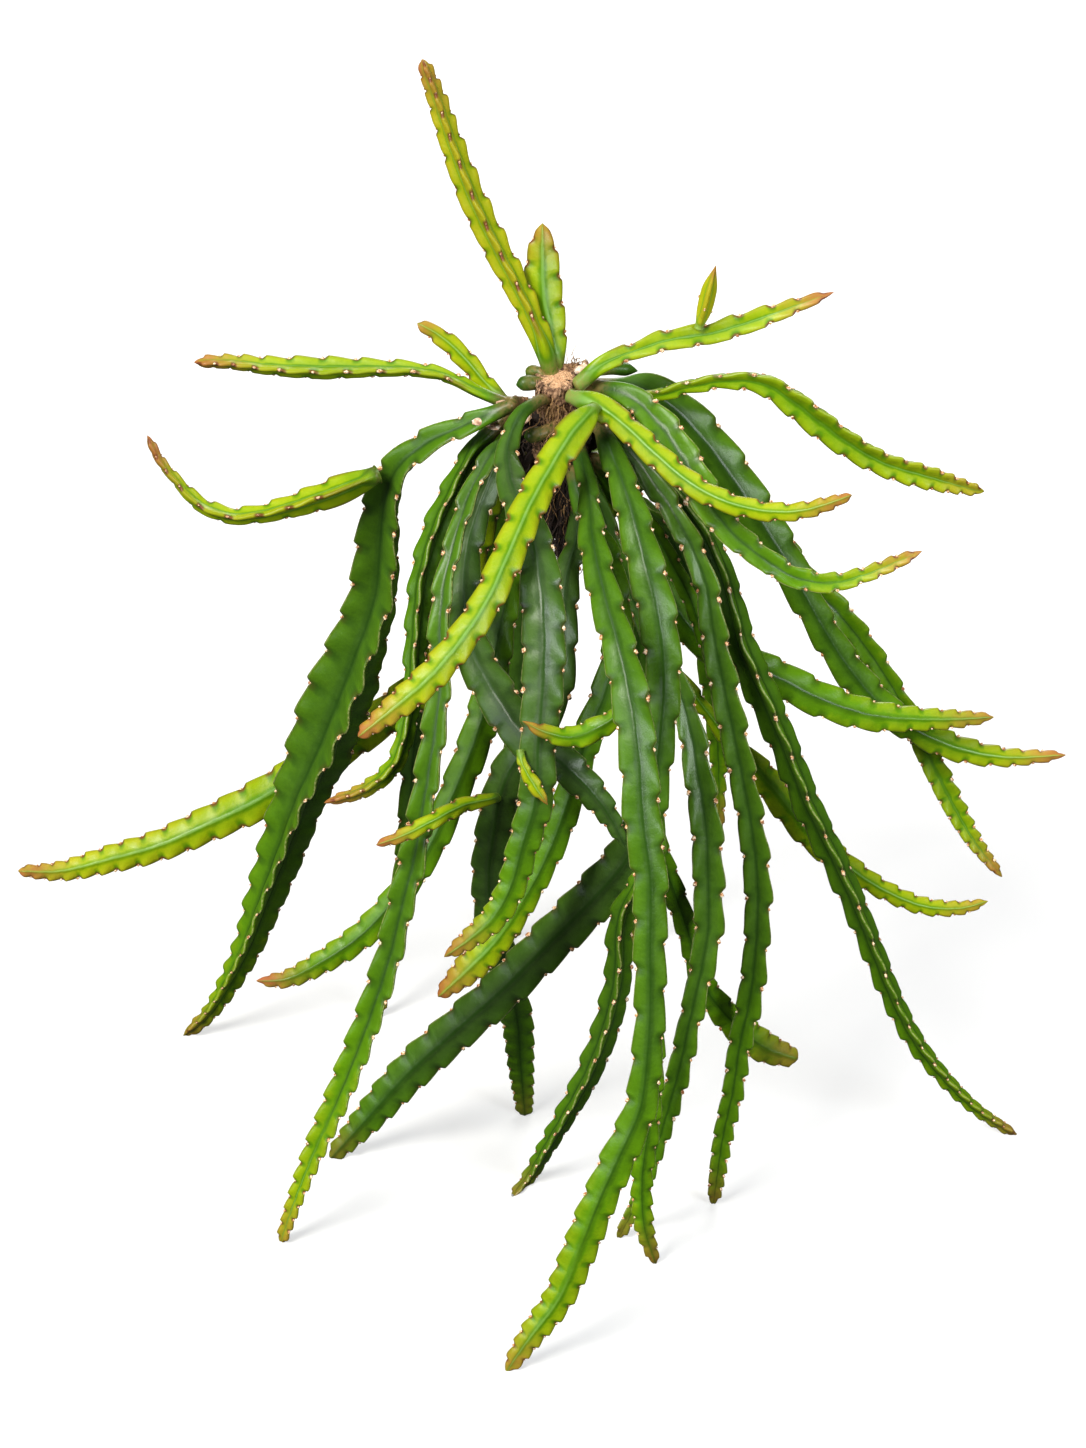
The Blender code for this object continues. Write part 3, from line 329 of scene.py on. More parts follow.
        (71.5, 25.3, 4.5, 4), (74, 33, 4.5, 8), (77, 45, 4, 8), (80, 56, 3, 4))),
    Stem("twig_left", 2, "young", 13, None, (0.6, 0.74, 0.84, 1.0), (
        (-30.2, -210.2, -88.6, 5), (-33, -211, -94, 6), (-46, -214, -106, 9), (-62, -222, -120, 9),
        (-76, -229, -126, 8), (-90, -234, -129, 4))),
    Stem("twig_curled", 2, "young", 13, None, (0.46, 0.56, 0.8, 0.9), (
        (35.3, -165.7, -151.4, 6), (31, -169, -147, 8), (22, -175, -148, 13), (9, -180, -151, 12),
        (-4, -178, -154, 9), (-17, -172, -156, 4))),
    Stem("twig_tiny", 2, "young", 9, None, (0.6, 0.8, 0.86, 0.9), (
        (-17.8, -187.8, -145.1, 4), (-17, -193, -149, 5), (-11, -204, -152, 8), (-4, -214, -154, 3))),
    Stem("stem_right_short", 2, "leaf", 18, None, (0.52, 0.38, 0.62, 0.5), (
        (48, -221, -124, 6), (49, -223, -118, 7), (53, -240, -106, 11), (60, -260, -97, 12),
        (67, -281, -91, 12), (74, -304, -84, 13), (88, -322, -77, 16), (104, -335, -73, 17),
        (121, -341, -70, 10))),
)

CUT_STUBS = (
    Stem("cut_stub_left", 0, "leaf", 0, "top", (0.4, 0.44, 0.46, 0.0), (
        (-10, -3, 0, 7), (-14, -3, -1, 8), (-20, -4, -2, 6))),
    Stem("cut_stub_back", 0, "leaf", 0, "top", (0.5, 0.54, 0.56, 0.0), (
        (-9, 3, 6, 5), (-12, 3, 8, 6), (-15, 1, 9, 4))),
    Stem("cut_stub_right", 0, "leaf", 0, "right", (0.44, 0.48, 0.5, 0.0), (
        (22, 3, 24, 5), (28, 4, 28, 6), (34, 4, 31, 7), (41, 3, 32, 5))),
    Stem("cut_stub_low", 0, "mature", 0, "front", (0.26, 0.3, 0.32, 0.0), (
        (-7, -28, -17, 7), (-11, -29, -18, 8), (-16, -30, -18, 6))),
)

BACK_STEMS = (
    Stem("back_leg_middle", 2, "mature", 30, "back", (0.52, 0.22, 0.4, 0.5), (
        (-3, 14, -48, 8), (-4, 50, -52, 15), (-8, 98, -95, 20), (-14, 134, -178, 22), (-19, 153, -280, 20),
        (-22, 162, -370, 17), (-24, 166, -440, 9)), foot=True),
    Stem("back_leg_right", 3, "mature", 30, "back", (0.52, 0.26, 0.44, 0.5), (
        (8, 14, -42, 8), (20, 52, -44, 12), (36, 100, -88, 16), (44, 132, -172, 17), (47, 146, -275, 16),
        (47, 150, -370, 13), (46, 150, -440, 7)), foot=True),
    Stem("back_leg_left", 3, "mature", 30, "back", (0.52, 0.2, 0.4, 0.5), (
        (-6, 15, -34, 8), (-28, 38, -44, 12), (-51, 57, -90, 15), (-65, 68, -160, 16), (-75, 76, -240, 15),
        (-83, 81, -330, 13), (-100, 84, -440, 7)), foot=True),
    Stem("back_arch", 2, "young", 21, "back", (0.5, 0.64, 0.8, 0.9), (
        (2, 15, -62, 7), (8, 46, -70, 14), (18, 92, -96, 16), (26, 130, -144, 16), (32, 156, -206, 13),
        (35, 168, -266, 5))),
    Stem("back_short_left", 2, "leaf", 22, "back", (0.52, 0.48, 0.7, 0.8), (
        (-9, 10, -58, 7), (-20, 38, -74, 14), (-32, 70, -114, 18), (-40, 92, -170, 17),
        (-45, 102, -226, 6))),
    Stem("back_right_low", 3, "mature", 24, "low", (0.52, 0.36, 0.6, 0.7), (
        (9, 12, -66, 8), (31, 36, -82, 12), (62, 62, -124, 15), (80, 84, -192, 15), (89, 97, -262, 12),
        (92, 102, -330, 5))),
    Stem("back_yellow", 2, "young", 21, "back", (0.6, 0.86, 0.92, 0.9), (
        (12, 12, -54, 7), (32, 46, -62, 14), (56, 90, -92, 16), (76, 126, -140, 15), (90, 152, -196, 13),
        (97, 168, -248, 5))),
)


def linear(hex_colour):
    """Linear RGB of an sRGB hex colour."""
    channels = [int(hex_colour[i : i + 2], 16) / 255 for i in (1, 3, 5)]
    return tuple(c / 12.92 if c <= 0.04045 else ((c + 0.055) / 1.055) ** 2.4 for c in channels)


def colour_property(name, description, hex_colour):
    default = linear(hex_colour)
    return bpy.props.FloatVectorProperty(
        name=name, description=description, subtype="COLOR", size=3, min=0, max=1, default=default
    )


def length_property(name, description, default):
    return bpy.props.FloatProperty(
        name=name, description=description, unit="LENGTH", precision=5, min=0, default=default
    )


def factor_property(name, description, default):
    return bpy.props.FloatProperty(
        name=name, description=description, subtype="FACTOR", min=0, max=1, default=default
    )


def strength_property(name, description, default):
    return bpy.props.FloatProperty(name=name, description=description, min=0, default=default)


class StemSizes(bpy.types.PropertyGroup):
    """Sizes of the stems' skin."""

    ring_step: length_property("Ring step", "Distance between the rings of a stem's skin", 1.05 * MM)
    tooth_depth: factor_property("Crenation depth", "Step of a crenation, as a share of its pitch", 0.105)
    margin: length_property("Margin thickness", "Thickness of a wing at its margin", 1.6 * MM)
    rib: length_property("Rib thickness", "Thickness added at the midrib", 3.0 * MM)
    pucker: factor_property("Pucker", "Swelling of each crenation, as a share of the width", 0.038)
    wave: factor_property("Wave", "How far the margins wave, as a share of the width", 0.045)
    fold: factor_property("Fold", "How far flat wings lie back, as a share of the width", 0.085)
    areole: length_property("Areole radius", "Radius of the wool cushion in each notch", 1.45 * MM)
    bristle: length_property("Bristle length", "Length of the bristles in an areole", 1.3 * MM)


class SkinColours(bpy.types.PropertyGroup):
    """Colours of the stems' skin, from the oldest to the youngest, and of its marks."""

    oldest: colour_property("Oldest", "The darkest green, on old stems in the shade", "#20400A")
    mature: colour_property("Mature", "The green of grown stems", "#3A600C")
    leaf: colour_property("Leaf", "The mid green", "#527E06")
    bright: colour_property("Bright", "The yellow-green of young stems", "#889E08")
    lime: colour_property("Lime", "The yellow of the youngest stems", "#AEAA18")
    rib: colour_property("Rib", "The pale raised line of the midrib", "#8FB868")
    # Painted highlight: a thin pale line along grown margins, where light catches them
    edge: colour_property("Edge", "The thin dry line along a grown margin", "#B4B478")
    margin: colour_property("Margin", "The brown edge of a young crenation", "#6E3A1E")
    blush: colour_property("Blush", "The flush at the tips", "#9C5634")
    # Painted sheen: a grey that stands in for the sheen of the wax on grown skin
    bloom: colour_property("Bloom", "Grey wax on grown skin", "#68794E")
    cork: colour_property("Cork", "Old, rubbed skin at the base", "#94704A")


class CrownColours(bpy.types.PropertyGroup):
    """Colours of the wood, the roots and the husks."""

    sawn: colour_property("Sawn wood", "The dry cut face", "#BE9068")
    bark: colour_property("Bark", "The bark of the cut branch", "#72523A")
    # Partly painted shade: the roots' own dark brown is darkened further for the shade they hang in under the
    # crown
    root: colour_property("Roots", "Matted old roots", "#34231A")
    straw: colour_property("Straw", "Dry fibres", "#B08A55")
    husk: colour_property("Husk", "Papery bud scales", "#CDA98C")


class StageLook(bpy.types.PropertyGroup):
    """Floor and light."""

    floor: colour_property("Floor", "Colour of the light table", "#B2B2B2")
    sky: strength_property("Surround", "Brightness of the surround", 0.05)
    key: strength_property("Key light", "Strength of the key light", 4.5)
    side: strength_property("Side light", "Watts of the side light", 30)
    left: strength_property("Left light", "Watts of the softbox at the left", 10)
    back: strength_property("Back light", "Watts of the softbox behind", 30)
    top: strength_property("Top light", "Watts of the softbox overhead", 8)


def unit(vector):
    return vector / np.linalg.norm(vector)


def seen_point(across, up, back):
    """Where the sight line through a seen point meets the upright plane `back` behind the cut, and how much
    larger a thing there is than it looks."""
    seen = across * RIGHT + up * UP
    stretch = (back - VIEWER[1]) / (seen[1] - VIEWER[1])
    return VIEWER + (seen - VIEWER) * stretch, stretch


def standing_point(across, up):
    """Where the sight line through a seen point meets the surface."""
    seen = across * RIGHT + up * UP
    stretch = (FOOT_HEIGHT - CROWN[2] - VIEWER[2]) / (seen[2] - VIEWER[2])
    return VIEWER + (seen - VIEWER) * stretch, stretch


def seen_route(stem):
    """The route's points and real widths, from what the viewer sees."""
    points, widths = [], []
    for index, (across, up, back, width) in enumerate(stem.route):
        if stem.foot and index == len(stem.route) - 1:
            point, stretch = standing_point(across * MM, up * MM)
        else:
            point, stretch = seen_point(across * MM, up * MM, back * MM)
        points.append(point + CROWN)
        widths.append(width * stretch * MM)
    return np.array(points), np.array(widths)


def real_route(stem):
    points = np.array([point[:3] for point in stem.route], float) * MM + CROWN
    if stem.foot:
        points[-1, 2] = FOOT_HEIGHT
    return points, np.array([point[3] for point in stem.route], float) * MM


def hermite(start, leaving, end, arriving, t):
    """The cubic from start to end at shares t, with its slopes at both ends."""
    return (
        start * (2 * t**3 - 3 * t**2 + 1) + leaving * (t**3 - 2 * t**2 + t)
        + end * (3 * t**2 - 2 * t**3) + arriving * (t**3 - t**2)
    )


def normalised(vectors):
    return vectors / np.linalg.norm(vectors, axis=-1, keepdims=True)


class Path:
    """A smooth curve through a route's points, read by the distance along it."""

    STEP = 1.5 * MM
    FINE_STEPS = 600
    LEAST_STEPS = 12

    def __init__(self, points, widths, facing, roll):
        knots = np.concatenate(([0], np.cumsum(np.linalg.norm(np.diff(points, axis=0), axis=1) ** 0.5)))
        fine = np.linspace(0, knots[-1], self.FINE_STEPS)
        line = self.spline(knots, points, fine)
        along = np.concatenate(([0], np.cumsum(np.linalg.norm(np.diff(line, axis=0), axis=1))))
        self.length = along[-1]
        count = max(self.LEAST_STEPS, int(self.length / self.STEP))
        self.along = np.linspace(0, self.length, count)
        self.line = np.stack([np.interp(self.along, along, line[:, axis]) for axis in range(3)], 1)
        self.width = np.interp(self.along, along, self.spline(knots, widths[:, None], fine)[:, 0])
        self.tangent = normalised(np.gradient(self.line, self.along, axis=0))
        side = normalised(np.cross(self.tangent, facing))
        front = np.cross(side, self.tangent)
        turn = np.radians(np.linspace(roll[0], roll[1], count))[:, None]
        self.side = side * np.cos(turn) + front * np.sin(turn)
        self.front = front * np.cos(turn) - side * np.sin(turn)

    @staticmethod
    def spline(knots, values, at):
        """Catmull-Rom through values at knots, with slopes from each point's two neighbours."""
        slopes = np.gradient(values, knots, axis=0)
        index = np.clip(np.searchsorted(knots, at, side="right") - 1, 0, len(knots) - 2)
        gap = (knots[index + 1] - knots[index])[:, None]
        t = (at - knots[index])[:, None] / gap
        return hermite(values[index], slopes[index] * gap, values[index + 1], slopes[index + 1] * gap, t)

    def read(self, values, distances):
        return np.stack([np.interp(distances, self.along, values[:, axis]) for axis in range(3)], 1)

    def at(self, distances):
        """Centres, side and front directions and widths at distances from the base."""
        side = normalised(self.read(self.side, distances))
        front = normalised(self.read(self.front, distances))
        return self.read(self.line, distances), side, front, np.interp(distances, self.along, self.width)


def path_of(stem):
    if stem in BACK_STEMS:
        points, widths = real_route(stem)
        return Path(points, widths, AWAY, stem.roll)
    points, widths = seen_route(stem)
    return Path(points, widths, NEAR, stem.roll)


def teeth(length, pitch):
    """The distances at which a stem's crenations begin, closer together towards its tip."""
    marks = [min(STALK_LENGTH, LONGEST_STALK_SHARE * length)]
    while True:
        near_tip = min(max((marks[-1] / length - CLOSER_FROM) / (1 - CLOSER_FROM), 0), 1)
        step = pitch * (1 - (1 - TIP_PITCH_SHARE) * near_tip)
        if marks[-1] + LAST_PITCHES * step > length:
            return np.array(marks)
        marks.append(marks[-1] + step)


def smooth(value):
    value = np.clip(value, 0, 1)
    return value * value * (3 - 2 * value)


# The skin of a stem

# Where the points of a flat stem's section lie across it, from the right margin over the front to the left
# and back, and which face each is on
HALF_ACROSS = (1.0, 0.95, 0.82, 0.6, 0.36, 0.13)
FLAT_ACROSS = np.array(
    HALF_ACROSS + (0.0,) + tuple(-u for u in HALF_ACROSS[::-1])
    + tuple(-u for u in HALF_ACROSS[1:]) + (0.0,) + HALF_ACROSS[:0:-1]
)
FLAT_FACE = np.array([1] * 13 + [-1] * 11)
FLAT_FACE[[0, 12]] = 0

# Where the points of one wing of a three-winged stem lie, from the valley before it to the one after
WING_REACH = np.array((0.0, 0.36, 0.64, 0.9, 1.0, 0.9, 0.64, 0.36))
WING_FACE = np.array((0, -1, -1, -1, 0, 1, 1, 1))

# The points of each section that are its margins, and where in the pitch the notches of each margin lie
FLAT_PHASES = (0.0, 0.5)
WING_PHASES = (0.25, 0.0, 0.5)
MARGINS = {0: (), 2: tuple(zip((0, 12), FLAT_PHASES)), 3: tuple(zip((4, 12, 20), WING_PHASES))}


def notches(marks, phase):
    return marks[:-1] + phase * np.diff(marks)


def crenation(distances, marks, phase):
    """Phase within the crenation at each distance, from one notch to the next."""
    found = notches(marks, phase)
    if len(found) < 2:
        return np.full(len(distances), 0.5)
    pitch = np.interp(distances, found[:-1], np.diff(found))
    index = np.searchsorted(found, distances, side="right") - 1
    inside = np.clip(index, 0, len(found) - 2)
    phases = (distances - found[inside]) / (found[inside + 1] - found[inside])
    before = 1 + (distances - found[0]) / pitch
    phases = np.where(index < 0, np.clip(before, SHOULDER_PHASE, 1), phases)
    after = (distances - found[-1]) / pitch
    return np.where(index >= len(found) - 1, after % 1, phases)


def shoulder(phases):
    """How far a margin stands out: a slow rise to the crenation's round shoulder, then a quick step in."""
    along = np.clip(phases / SHOULDER_PHASE, 0, 1)
    rise = 0.4 * along + 0.6 * np.sin(along * math.pi / 2) ** 0.8
    fall = 1 - smooth((phases - SHOULDER_PHASE) / (1 - SHOULDER_PHASE))
    return np.where(phases > SHOULDER_PHASE, fall, rise)


def tip_length(length, marks):
    """How much of the stem rounds off to its tip."""
    return length - marks[-1] if len(marks) else STUB_TIP_SHARE * length


def ring_distances(length, marks, sizes):
    """Rings one step apart, and closer over the last quarter of the tip, where it rounds off."""
    last = tip_length(length, marks)
    steps = np.arange(0, length - 0.25 * last, sizes.ring_step)
    turn = np.linspace(math.asin(0.75), math.pi / 2, TIP_RINGS)[:-1]
    end = length - last + last * np.sin(turn)
    return np.concatenate((steps, end))


def stalk_rings(stem, path):
    """Rings from inside the crown or the stem that carries it, so that no seam shows at the base."""
    centres, sides, fronts, widths = path.at(np.array([0.0]))
    end = centres[0]
    start = end - path.tangent[0] * HOST_REACH
    if stem.anchor:
        start = CROWN + np.array(ANCHORS[stem.anchor]) * MM
    heading = path.tangent[0] * np.linalg.norm(end - start)
    t = np.linspace(0, 1, STALK_RINGS, endpoint=False)[:, None]
    line = hermite(start, end - start, end, 0.8 * heading, t)
    radii = widths[0] / 2 * (1 + STALK_FLARE * (1 - t[:, 0]))
    return line, np.repeat(sides, STALK_RINGS, 0), np.repeat(fronts, STALK_RINGS, 0), radii


def seen_spread(roll):
    """How a rolled three-winged section lies as seen: the scale that keeps its width, and its shift."""
    turns = np.stack([np.sin(roll + math.radians(wing)) for wing in (0, 120, 240)])
    low, high = turns.min(0), turns.max(0)
    scale = math.sqrt(3) / (high - low)
    return scale, -0.5 * (high + low) * scale


def swelling(place, phase):
    """How a crenation swells between rib and margin, and sinks in the folds that run from its notches."""
    lean = (phase + LEAN * (1 - place)) % 1.0
    return place * (1.05 - place) * np.abs(np.sin(math.pi * lean))


def flat_section(distances, widths, marks, sizes, depth):
    """Across and front places of a flat stem's skin in its rings, in metres, how far across each is, and its
    phase in the crenation."""
    radius = widths / 2
    phases = [crenation(distances, marks, phase) for phase in FLAT_PHASES]
    shares = [1 - depth * (1 - shoulder(phase)) for phase in phases]
    u = FLAT_ACROSS[None, :]
    far = np.abs(u)
    share = np.where(u > 0, shares[0][:, None], shares[1][:, None])
    phase = np.where(u > 0, phases[0][:, None], phases[1][:, None])
    lip = sizes.margin / 2
    rise = np.minimum((sizes.rib + RIB_SHARE * widths) / 2, radius)[:, None]
    rounding = np.sqrt(np.clip(1 - ((far - FLAT_MARGIN) / (1 - FLAT_MARGIN)).clip(0, 1) ** 2, 0, 1))
    # The wings thin out evenly, and the rib stands on them as a narrow ridge
    roof = ROOF * (1 - far) + RIDGE * np.exp(-((u / RIDGE_WIDTH) ** 2))
    swollen = FLAT_SWELLING * swelling(far, phase) - SINKING * far
    pucker = sizes.pucker * widths[:, None] * swollen * rounding
    height = lip * rounding + (rise - lip) * roof + pucker
    wave = sizes.wave * widths[:, None] * far**3 * np.sin(2 * math.pi * phase) * np.sign(u)
    fold = sizes.fold * widths[:, None] * (far - FOLD_LINE)
    across = radius[:, None] * u * share
    return across, height * FLAT_FACE[None, :] + wave - fold, far + 0 * across, phase


def winged_section(distances, widths, reach, marks, sizes, depth):
    """The same for a three-winged stem, whose first wing points to the front."""
    core = np.minimum(CORE_SHARE * (sizes.rib + RIB_SHARE * widths) / 2, widths / 2)
    lip = sizes.margin / 2
    across, front, far, phases = [], [], [], []
    for wing, start in enumerate(WING_PHASES):
        angle = math.radians(120) * wing
        valley = angle - math.radians(60)
        phase = crenation(distances, marks, start)
        share = 1 - depth * (1 - shoulder(phase))
        for place, face in zip(WING_REACH, WING_FACE):
            if place == 0:
                across.append(core * math.sin(valley))
                front.append(core * math.cos(valley))
            else:
                rounding = math.sqrt(1 - (max(place - WING_MARGIN, 0) / (1 - WING_MARGIN)) ** 2)
                body = lip * rounding + (ROOF * core - lip) * (1 - place) ** WING_THINNING
                thick = face * (body + sizes.pucker * widths * WING_SWELLING * swelling(place, phase))
                thick = thick + sizes.wave * widths * place**3 * np.sin(2 * math.pi * phase)
                out = reach * share * place
                across.append(out * math.sin(angle) + thick * math.cos(angle))
                front.append(out * math.cos(angle) - thick * math.sin(angle))
            far.append(np.full(len(distances), place))
            phases.append(phase)
    return (np.stack(found, 1) for found in (across, front, far, phases))


def stem_skin(stem, sizes):
    """The stem's rings of points with what its colours depend on, and where its areoles lie."""
    path = path_of(stem)
    marks = teeth(path.length, stem.pitch * MM) if stem.wings else np.array([])
    distances = ring_distances(path.length, marks, sizes)
    centres, sides, fronts, widths = path.at(distances)
    stalk_end = min(STALK_LENGTH if stem.anchor else HOST_STALK, LONGEST_STALK_SHARE * path.length)
    wing = smooth(distances / stalk_end)[:, None] if stem.wings else np.zeros((len(distances), 1))
    last = tip_length(path.length, marks)
    into_tip = ((distances - path.length + last) / last).clip(0, 1)
    envelope = (1 - into_tip**TIP_NARROWING)[:, None] ** TIP_FULLNESS
    depth = sizes.tooth_depth * stem.pitch * MM * DEPTH_OF_TONE[stem.tone]
    depth = np.minimum(depth / (widths / 2 + 1e-6), DEEPEST_NOTCH)
    if stem.wings == 3:
        roll = np.radians(np.interp(distances, (0, path.length), stem.roll))
        scale, shift = seen_spread(roll)
        reach = widths / math.sqrt(3)
        # The turned side and front directions have to give the shift along the seen width
        turned = np.cos(roll)[:, None] * sides - np.sin(roll)[:, None] * fronts
        centres = centres - turned * (shift * reach)[:, None]
        across, front, far, phase = winged_section(distances, widths, reach * scale, marks, sizes, depth)
        turns = math.radians(-60) + np.arange(across.shape[1]) * 2 * math.pi / across.shape[1]
        circle = np.sin(turns), np.cos(turns)
    else:
        across, front, far, phase = flat_section(distances, widths, marks, sizes, depth)
        turns = np.arange(across.shape[1]) * 2 * math.pi / across.shape[1]
        circle = np.cos(turns), np.sin(turns)
    # A round stalk turns into the winged section, and the tip rounds off
    radius = widths[:, None] / 2
    across = (across * wing + circle[0] * radius * (1 - wing)) * envelope
    thinning = TIP_THICKNESS + (1 - TIP_THICKNESS) * envelope
    front = (front * wing + circle[1] * radius * (1 - wing)) * thinning * np.sqrt(envelope)
    points = centres[:, None] + sides[:, None] * across[..., None] + fronts[:, None] * front[..., None]
    # Rubbed cork covers the base, and more of it where the crown carries the stem
    rubbed, foot_rubbed = (0.5, 1.0) if stem.anchor else (0.2, 0.2)
    cork = rubbed * np.clip(1 - distances / CORK_LENGTH, 0, 1)[:, None]
    even = np.zeros(points.shape[:2])
    share = (distances / path.length)[:, None] + even
    skin = {"points": points, "share": share, "far": far * wing, "phase": phase, "cork": cork + even}
    line, side, facing, radii = stalk_rings(stem, path)
    ring = side[:, None] * (circle[0] * radii[:, None])[..., None]
    ring = ring + facing[:, None] * (circle[1] * radii[:, None])[..., None]
    none = np.zeros(ring.shape[:2])
    fade = np.linspace(1, 0.5, STALK_RINGS)[:, None] * foot_rubbed
    base = {"points": line[:, None] + ring, "share": none, "far": none, "phase": none + 0.5}
    base["cork"] = fade + none
    skin = {name: np.concatenate((base[name], skin[name])) for name in skin}
    skin["tip"] = path.line[-1].copy()
    skin["tip"][2] = max(skin["tip"][2], 0)
    skin["points"][..., 2] = np.maximum(skin["points"][..., 2], 0)
    skin["distances"] = distances
    return skin, path, marks


def margin_points(skin, stem, path, marks):
    """(place, outward, along, size) of each areole, in the notches of every margin."""
    rings = skin["points"][-len(skin["distances"]):]
    found = []
    for column, phase in MARGINS[stem.wings]:
        for distance in notches(marks, phase):
            index = min(int(np.searchsorted(skin["distances"], distance)), len(rings) - 2)
            place = rings[index, column]
            outward = unit(place - rings[index].mean(0))
            along = unit(rings[index + 1, column] - place)
            found.append((place, outward, along, 1 - AREOLE_SHRINK * distance / path.length))
    return found


# Meshes


class Gather:
    """Points, faces and values of one piece, before they become its mesh."""

    VALUES = ("ripeness", "across", "notch", "cork", "blush")

    def __init__(self):
        self.points, self.faces, self.slots, self.count = [], [], [], 0
        self.values = {name: [] for name in self.VALUES}

    def add(self, points, faces, slot=0, **values):
        points = np.asarray(points, float).reshape(-1, 3)
        self.faces += (np.asarray(faces) + self.count).tolist()
        self.slots += [slot] * len(faces)
        self.points.append(points)
        for name in self.VALUES:
            self.values[name].append(np.broadcast_to(values.get(name, 0.0), (len(points),)).astype(float))
        self.count += len(points)

    def make(self, name, materials):
        mesh = bpy.data.meshes.new(name)
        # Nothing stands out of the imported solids' box
        points = np.clip(np.concatenate(self.points), *CAD_BOX)
        mesh.from_pydata(points.tolist(), [], self.faces)
        for material in materials:
            mesh.materials.append(material)
        mesh.polygons.foreach_set("material_index", self.slots)
        mesh.polygons.foreach_set("use_smooth", [True] * len(self.faces))
        for value in self.VALUES:
            attribute = mesh.attributes.new(value, "FLOAT", "POINT")
            attribute.data.foreach_set("value", np.concatenate(self.values[value]).astype(np.float32))
        mesh.update()
        made = bpy.data.objects.new(name, mesh)
        bpy.context.scene.collection.objects.link(made)
        return made


def tube_faces(rings, sides):
    """Quads that join rings of points, in order, each to the next."""
    ring, side = np.meshgrid(np.arange(rings - 1), np.arange(sides), indexing="ij")
    here, after = ring * sides, (side + 1) % sides
    quads = np.stack((here + side, here + after, here + sides + after, here + sides + side), -1)
    return quads.reshape(-1, 4)


def fan_faces(first, sides, point, turned):
    """Triangles from a ring to one point."""
    corners = first + np.arange(sides)
    after = first + (np.arange(sides) + 1) % sides
    pair = (after, corners) if turned else (corners, after)
    return np.stack((*pair, np.full(sides, point)), -1)


def add_tube(gather, rings, slot=0, **values):
    """A closed tube of rings, with a point in the middle of each end."""
    count, sides = rings.shape[:2]
    ends = np.stack((rings[0].mean(0), rings[-1].mean(0)))
    offset = gather.count
    given = {}
    for name, value in values.items():
        given[name] = np.concatenate((value.reshape(-1), value[0, :1], value[-1, -1:]))
    gather.add(np.concatenate((rings.reshape(-1, 3), ends)), tube_faces(count, sides), slot, **given)
    first = fan_faces(0, sides, count * sides, True)
    last = fan_faces((count - 1) * sides, sides, count * sides + 1, False)
    gather.faces += (np.concatenate((first, last)) + offset).tolist()
    gather.slots += [slot] * (2 * sides)


def thread(points, radii, sides):
    """Rings round a line of points."""
    points = np.asarray(points, float)
    tangents = np.gradient(points, axis=0)
    tangents /= np.linalg.norm(tangents, axis=1)[:, None] + 1e-12
    side = np.cross(tangents, NEAR + 0.01 * RIGHT)
    side /= np.linalg.norm(side, axis=1)[:, None] + 1e-12
    front = np.cross(side, tangents)
    turns = 2 * math.pi * np.arange(sides) / sides
    ring = side[:, None] * np.cos(turns)[None, :, None] + front[:, None] * np.sin(turns)[None, :, None]
    return points[:, None] + ring * np.asarray(radii, float)[:, None, None]


def ball(divisions):
    """Points and faces of a unit ball."""
    mesh = bmesh.new()
    bmesh.ops.create_icosphere(mesh, subdivisions=divisions, radius=1.0)
    mesh.verts.ensure_lookup_table()
    points = np.array([vertex.co for vertex in mesh.verts])
    faces = np.array([[vertex.index for vertex in face.verts] for face in mesh.faces])
    mesh.free()
    return points, faces


# Stems


def add_areoles(gather, found, sizes, cushion, chance, grown):
    """Wool cushions and their bristles. Each cushion is a little uneven, as grown wool is."""
    points, faces = cushion
    for place, outward, along, scale in found:
        across = unit(np.cross(outward, along))
        radius = sizes.areole * scale * grown * chance.uniform(0.6, 1.2)
        uneven = 1 + WOOL_UNEVEN * np.sin(points @ WOOL_LUMPS + chance.uniform(0, 6))[:, None]
        shape = points * uneven * CUSHION_SHAPE * radius
        gather.add(place + shape @ np.stack((outward, along, across)), faces, 1)
        for _ in range(BRISTLES_EACH):
            aim = unit(outward + along * chance.uniform(-0.2, 0.9) + across * chance.uniform(-0.8, 0.8))
            reach = sizes.bristle * scale * chance.uniform(0.5, 1.0)
            side, other = unit(np.cross(aim, along)), unit(np.cross(aim, across) + 0.01 * along)
            foot = [
                place + BRISTLE_RADIUS * (side * math.cos(t) + other * math.sin(t)) for t in BRISTLE_TURNS
            ]
            gather.add(foot + [place + aim * (reach + radius)], [(0, 1, 3), (1, 2, 3), (2, 0, 3)], 2)


def build_stem(stem, sizes, materials, cushion):
    skin, path, marks = stem_skin(stem, sizes)
    chance = random.Random(stem.name)
    base, middle, tip, flush = stem.ripe
    share = skin["share"]
    # How old or young the skin looks along the stem; the low values at the bases of inner stems are partly
    # painted shade
    ripeness = np.interp(share, RIPENESS_PLACES, (base, middle, middle, tip))
    flushed = min(LONGEST_FLUSH_SHARE, FLUSH_LENGTH / path.length)
    blush = flush * smooth((share - 1 + flushed) / flushed)
    # The cosine is 1 at a notch and runs on smoothly through it, where the phase itself jumps
    notch = np.cos(2 * math.pi * skin["phase"])
    values = dict(zip(Gather.VALUES, (ripeness, skin["far"], notch, skin["cork"], blush)))
    values = {name: np.concatenate((value, value[-1:])) for name, value in values.items()}
    rings = skin["points"]
    rings = np.concatenate((rings, rings[-1:] * 0.3 + skin["tip"] * 0.7))
    gather = Gather()
    add_tube(gather, rings, 0, **values)
    found = margin_points(skin, stem, path, marks)
    add_areoles(gather, found, sizes, cushion, chance, AREOLE_OF_TONE[stem.tone])
    piece = gather.make(stem.name.replace("stem_", "").replace("back_", "rear_") + "_skin", materials)
    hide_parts(stem.name)
    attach(piece, "root")


def build_stems(context, stems):
    scene = context.scene
    cushion = ball(2)
    wool, spine = areole_wool(), bristle_horn()
    for stem in stems:
        build_stem(stem, scene.stem_sizes, (waxy_skin(stem.tone, scene.skin_colours), wool, spine), cushion)


# Materials


